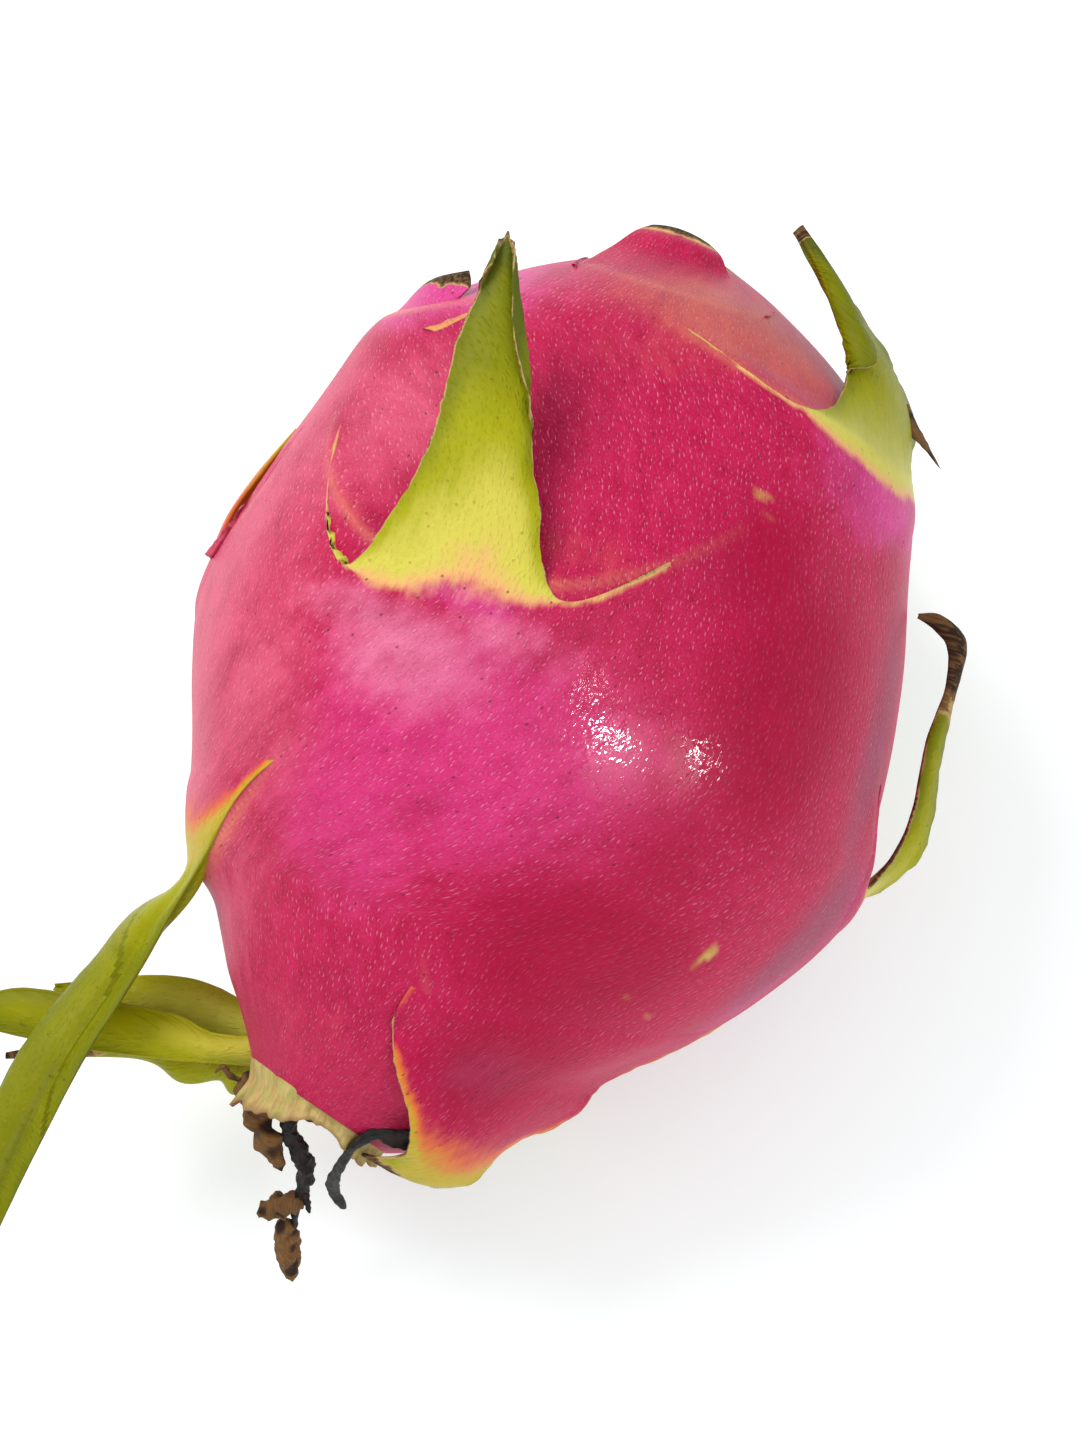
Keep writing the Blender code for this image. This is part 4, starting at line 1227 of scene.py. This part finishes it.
def dry_tube(name, knots, kind, node, flat=0.75, twist=2.0, rough=0.25, grain=0.0012, seed=1.0, sides=40):
    """A closed wrinkled tube. Knots are station, right, up and radius in millimetres."""
    material, slot = kind
    table = np.array(knots, float)
    rings = RINGS_PER_KNOT * len(table)
    path = guide_curve(table, np.linspace(0.0, 1.0, rings))
    spots, radii = place(path[:, 0], path[:, 1], path[:, 2]), np.maximum(path[:, 3], 0.12)
    heading = np.gradient(spots, axis=0)
    heading /= np.linalg.norm(heading, axis=1, keepdims=True)
    side = np.cross(heading, UP)
    side /= np.linalg.norm(side, axis=1, keepdims=True)
    top = np.cross(side, heading)
    turn = np.linspace(0.0, 2 * math.pi, sides, endpoint=False)
    wind = twist * np.linspace(0.0, 1.0, rings)[:, None] * 2 * math.pi
    wide, high = np.cos(turn), flat * np.sin(turn)
    x = wide * np.cos(wind) - high * np.sin(wind)
    y = wide * np.sin(wind) + high * np.cos(wind)
    ends = np.sqrt(np.clip(np.minimum(np.arange(rings), np.arange(rings)[::-1]) / 5.0, 0.02, 1.0))
    size = (radii * ends * MM)[:, None]
    tube = spots[:, None] + side[:, None] * (x * size)[..., None] + top[:, None] * (y * size)[..., None]
    bumps = ripple(tube, grain, seed) + 0.5 * ripple(tube, grain / 2.4, seed + 3.0)
    creases = np.abs(ripple(tube, grain * 1.8, seed + 7.0))
    swell = 1.0 + rough * (bumps - 1.6 * creases + 0.3)
    tube = spots[:, None] + (tube - spots[:, None]) * swell[..., None]
    tube[..., 2] = np.maximum(tube[..., 2], 0.0)
    length = np.linalg.norm(np.diff(spots, axis=0), axis=1).sum() / MM
    steps = np.linspace(0.0, length, rings)[:, None] * np.ones(sides)
    where = np.stack((steps, np.sin(turn) * radii[:, None] * 2, np.cos(turn) * radii[:, None] * 2), -1)
    # The edge colour follows the deepest creases: on the brown crumbs, scrap and sliver it darkens them as
    # painted shade, on the black cords it is a brown tint.
    values = {"skin": where, "edge": smooth((creases - 0.25) / 0.3)}
    mesh = make_mesh(name, tube, tube_faces(rings, sides), values)
    add_piece(name, mesh, material, slot, node)


# %% [markdown]
# The two black styles hang from under the collar, and crumbs of petal cling to the longer one. A
# ragged brown scrap follows the collar's left rim down, with a dry hook, and a dry sliver stands
# off the upper right scale. Each knot is station, right, up and radius, in the fruit's frame, as
# the solids are.

# %% Styles, crumbs and scrap
LONG_STYLE = [
    (-0.4, -14.2, -1, 0.9), (-2.8, -13.5, -2, 1.5), (-4.2, -13, -2.8, 1.2),
    (-5.8, -11.3, -3.8, 1.3), (-7.7, -9.6, -5.2, 1.45), (-9.5, -9.2, -6.8, 1.25),
    (-11.4, -8.9, -8.2, 0.9), (-13.6, -9, -10, 0.7), (-16, -8.4, -12, 0.6),
]
STYLE_PRONG = [
    (-10.6, -9, -7.4, 0.7), (-12, -7.9, -8, 0.5), (-13.2, -7.2, -8.6, 0.3),
]
SHORT_STYLE = [
    (1.2, 4.2, 10.4, 1.3), (-0.2, 1, 9.6, 1.4), (-0.4, -2.2, 9, 1.2),
    (-2.6, -4.3, 8, 1.05), (-4.8, -5.1, 5.8, 0.95), (-6.8, -5.5, 3, 0.95),
    (-8.5, -5.5, 0.2, 0.9), (-9.8, -4.6, -2.2, 0.8), (-10.9, -2.9, -4.4, 0.6),
]
UPPER_CRUMB = [
    (-12, -8.4, -8.4, 0.9), (-12.6, -9.6, -8.8, 1.6), (-13.6, -11.2, -9.6, 1.8),
    (-14.9, -12.8, -10.4, 1.3), (-15.6, -13.8, -10.8, 0.4),
]
LOWER_CRUMB = [
    (-15, -10.2, -11, 0.9), (-16.6, -9.4, -12.4, 1.6), (-18.8, -8.4, -14.2, 1.9),
    (-20.8, -7.4, -15.6, 1.5), (-22.6, -6.4, -16.4, 0.4),
]
SCRAP = [
    (1.8, -20.4, -1.2, 0.9), (0, -20.2, -1.8, 1.9), (-2.6, -18.6, -2.6, 1.8),
    (-4.9, -16.6, -3.4, 2), (-7.2, -14.2, -4.4, 1.7), (-9.2, -12.4, -5.4, 0.7),
]
SCRAP_HOOK = [
    (0, -21, -1.8, 0.5), (0.2, -23, -1.6, 0.45), (1, -24, -1.2, 0.35),
    (-0.2, -24.8, -1.2, 0.2),
]
DRY_SLIVER = [
    (112, 28.2, 13, 0.4), (110.2, 29.8, 12.6, 1.1), (108.4, 32, 12.2, 1.2),
    (106.6, 34.6, 11.8, 0.8), (104.4, 37.6, 11.4, 0.2),
]
BLACK, BROWN = (black_cord, "dried_black"), (brown_crumb, "dried_brown")
LONG, SHORT = "dried_style_long", "dried_style_short"
LUMP, SCRAP_NODE = "dried_flower_lump", "dried_flower_scrap"
dry_tube("style_long", LONG_STYLE, BLACK, LONG, rough=0.35, twist=1.4, seed=1.0)
dry_tube("style_prong", STYLE_PRONG, BLACK, LONG, rough=0.2, seed=2.0)
dry_tube("style_short", SHORT_STYLE, BLACK, SHORT, rough=0.2, flat=0.62, twist=0.6, seed=3.0)
dry_tube("crumb_upper", UPPER_CRUMB, BROWN, LUMP, rough=0.24, seed=4.0, sides=60)
dry_tube("crumb_lower", LOWER_CRUMB, BROWN, LUMP, rough=0.2, flat=0.85, twist=0.4, seed=5.0, sides=60)
dry_tube("scrap", SCRAP, BROWN, SCRAP_NODE, rough=0.4, flat=0.7, grain=0.0022, seed=6.0, sides=60)
dry_tube("dry_sliver", DRY_SLIVER, (brown_crumb, "rind"), "fruit", flat=0.4, twist=0.2, seed=8.0)
dry_tube("scrap_hook", SCRAP_HOOK, BROWN, SCRAP_NODE, rough=0.2, seed=7.0)

# %% [markdown]
# Soft studio light: a wide lamp at the upper left, a weaker one in front at the right, and a pale
# floor in a pale room, which together give the photograph's white ground and its faint soft
# shadow. The floor glows a little, which is painted light: it lifts the floor's shadow and lights
# the fruit from below, and the floor's faint cyan tint is painted to cancel the pink that the fruit
# bounces into that shadow. Two small lamps, which light nothing but reflections, give the skin its
# two wet glints. The room is darker for reflections than for light, so that it lays no white veil
# over the deep pinks.

# %% Floor and light
FLOOR_HALF, FLOOR_PAINTED_GLOW = 3.0, 0.32
ROOM_LIGHT, ROOM_SHINE = 0.78, 0.22
GLINT_DISTANCE, GLINT_SIZE = 0.7, 0.05
# Station and angle where each glint lies, and the lamp's power.
GLINTS = [(50.5, 80.0, 1.2), (52.5, 66.0, 0.4)]

floor_material, r, shader = new_material("floor_pale")
speck = r.noise(r.node("ShaderNodeTexCoord").outputs["Object"], 60.0, 2.0)
# Faint cyan ground: a painted correction that cancels the pink bounce in the floor's shadow.
r.fill(shader, {"Base Color": r.mix(speck, rgb(222, 229, 229), rgb(225, 232, 232))})
r.fill(shader, {"Roughness": 0.9, "Specular IOR Level": 0.1})
# Painted light: the floor's glow lifts its shadow and lights the fruit from below.
r.fill(shader, {"Emission Color": rgb(248, 254, 255), "Emission Strength": FLOOR_PAINTED_GLOW})
floor_mesh = bpy.data.meshes.new("floor")
corners = [(x * FLOOR_HALF, y * FLOOR_HALF, 0) for x, y in ((-1, -1), (1, -1), (1, 1), (-1, 1))]
floor_mesh.from_pydata(corners, [], [(0, 1, 2, 3)])
floor_mesh.materials.append(floor_material)
floor = bpy.data.objects.new("floor", floor_mesh)
bpy.context.scene.collection.objects.link(floor)


def softbox(name, spot, size, power, target=aim):
    lamp = bpy.data.lights.new(name, "AREA")
    lamp.shape = "DISK"
    lamp.size = size
    lamp.energy = power
    holder = bpy.data.objects.new(name, lamp)
    holder.location = spot
    holder.rotation_euler = (Vector(target) - Vector(spot)).to_track_quat("-Z", "Y").to_euler()
    bpy.context.scene.collection.objects.link(holder)
    return holder


def glint_spot(station, angle, distance):
    """Where a lamp has to stand for its reflection to lie at a place on the skin."""
    here = on_skin(np.array(station), np.array(angle))
    ahead = on_skin(np.array(station + 0.5), np.array(angle)) - here
    round_ = on_skin(np.array(station), np.array(angle + 1.0)) - here
    normal = np.cross(round_, ahead)
    normal /= np.linalg.norm(normal)
    to_eye = np.array(camera.location) - here
    to_eye /= np.linalg.norm(to_eye)
    if normal @ to_eye < 0:
        normal = -normal
    toward = 2 * (normal @ to_eye) * normal - to_eye
    return here + toward * distance, here


softbox("key_upper_left", (-0.55, 0.35, 0.85), 0.6, 7.0)
softbox("fill_front", (0.5, -0.7, 0.8), 0.7, 3.0)
for k, (station, angle, power) in enumerate(GLINTS):
    spot, target = glint_spot(station, angle, GLINT_DISTANCE)
    softbox(f"glint_{k}", spot, GLINT_SIZE, power, target).visible_diffuse = False

world = bpy.data.worlds.new("pale_room")
world.use_nodes = True
r = Recipe(world.node_tree)
ground = world.node_tree.nodes["Background"]
path = r.node("ShaderNodeLightPath")
drop = ROOM_SHINE - ROOM_LIGHT
strength = r.math("MULTIPLY_ADD", path.outputs["Is Glossy Ray"], drop, ROOM_LIGHT)
r.fill(ground, {"Strength": strength, "Color": (1.0, 1.0, 1.0, 1.0)})
bpy.context.scene.world = world
bpy.context.scene.view_settings.view_transform = "Standard"
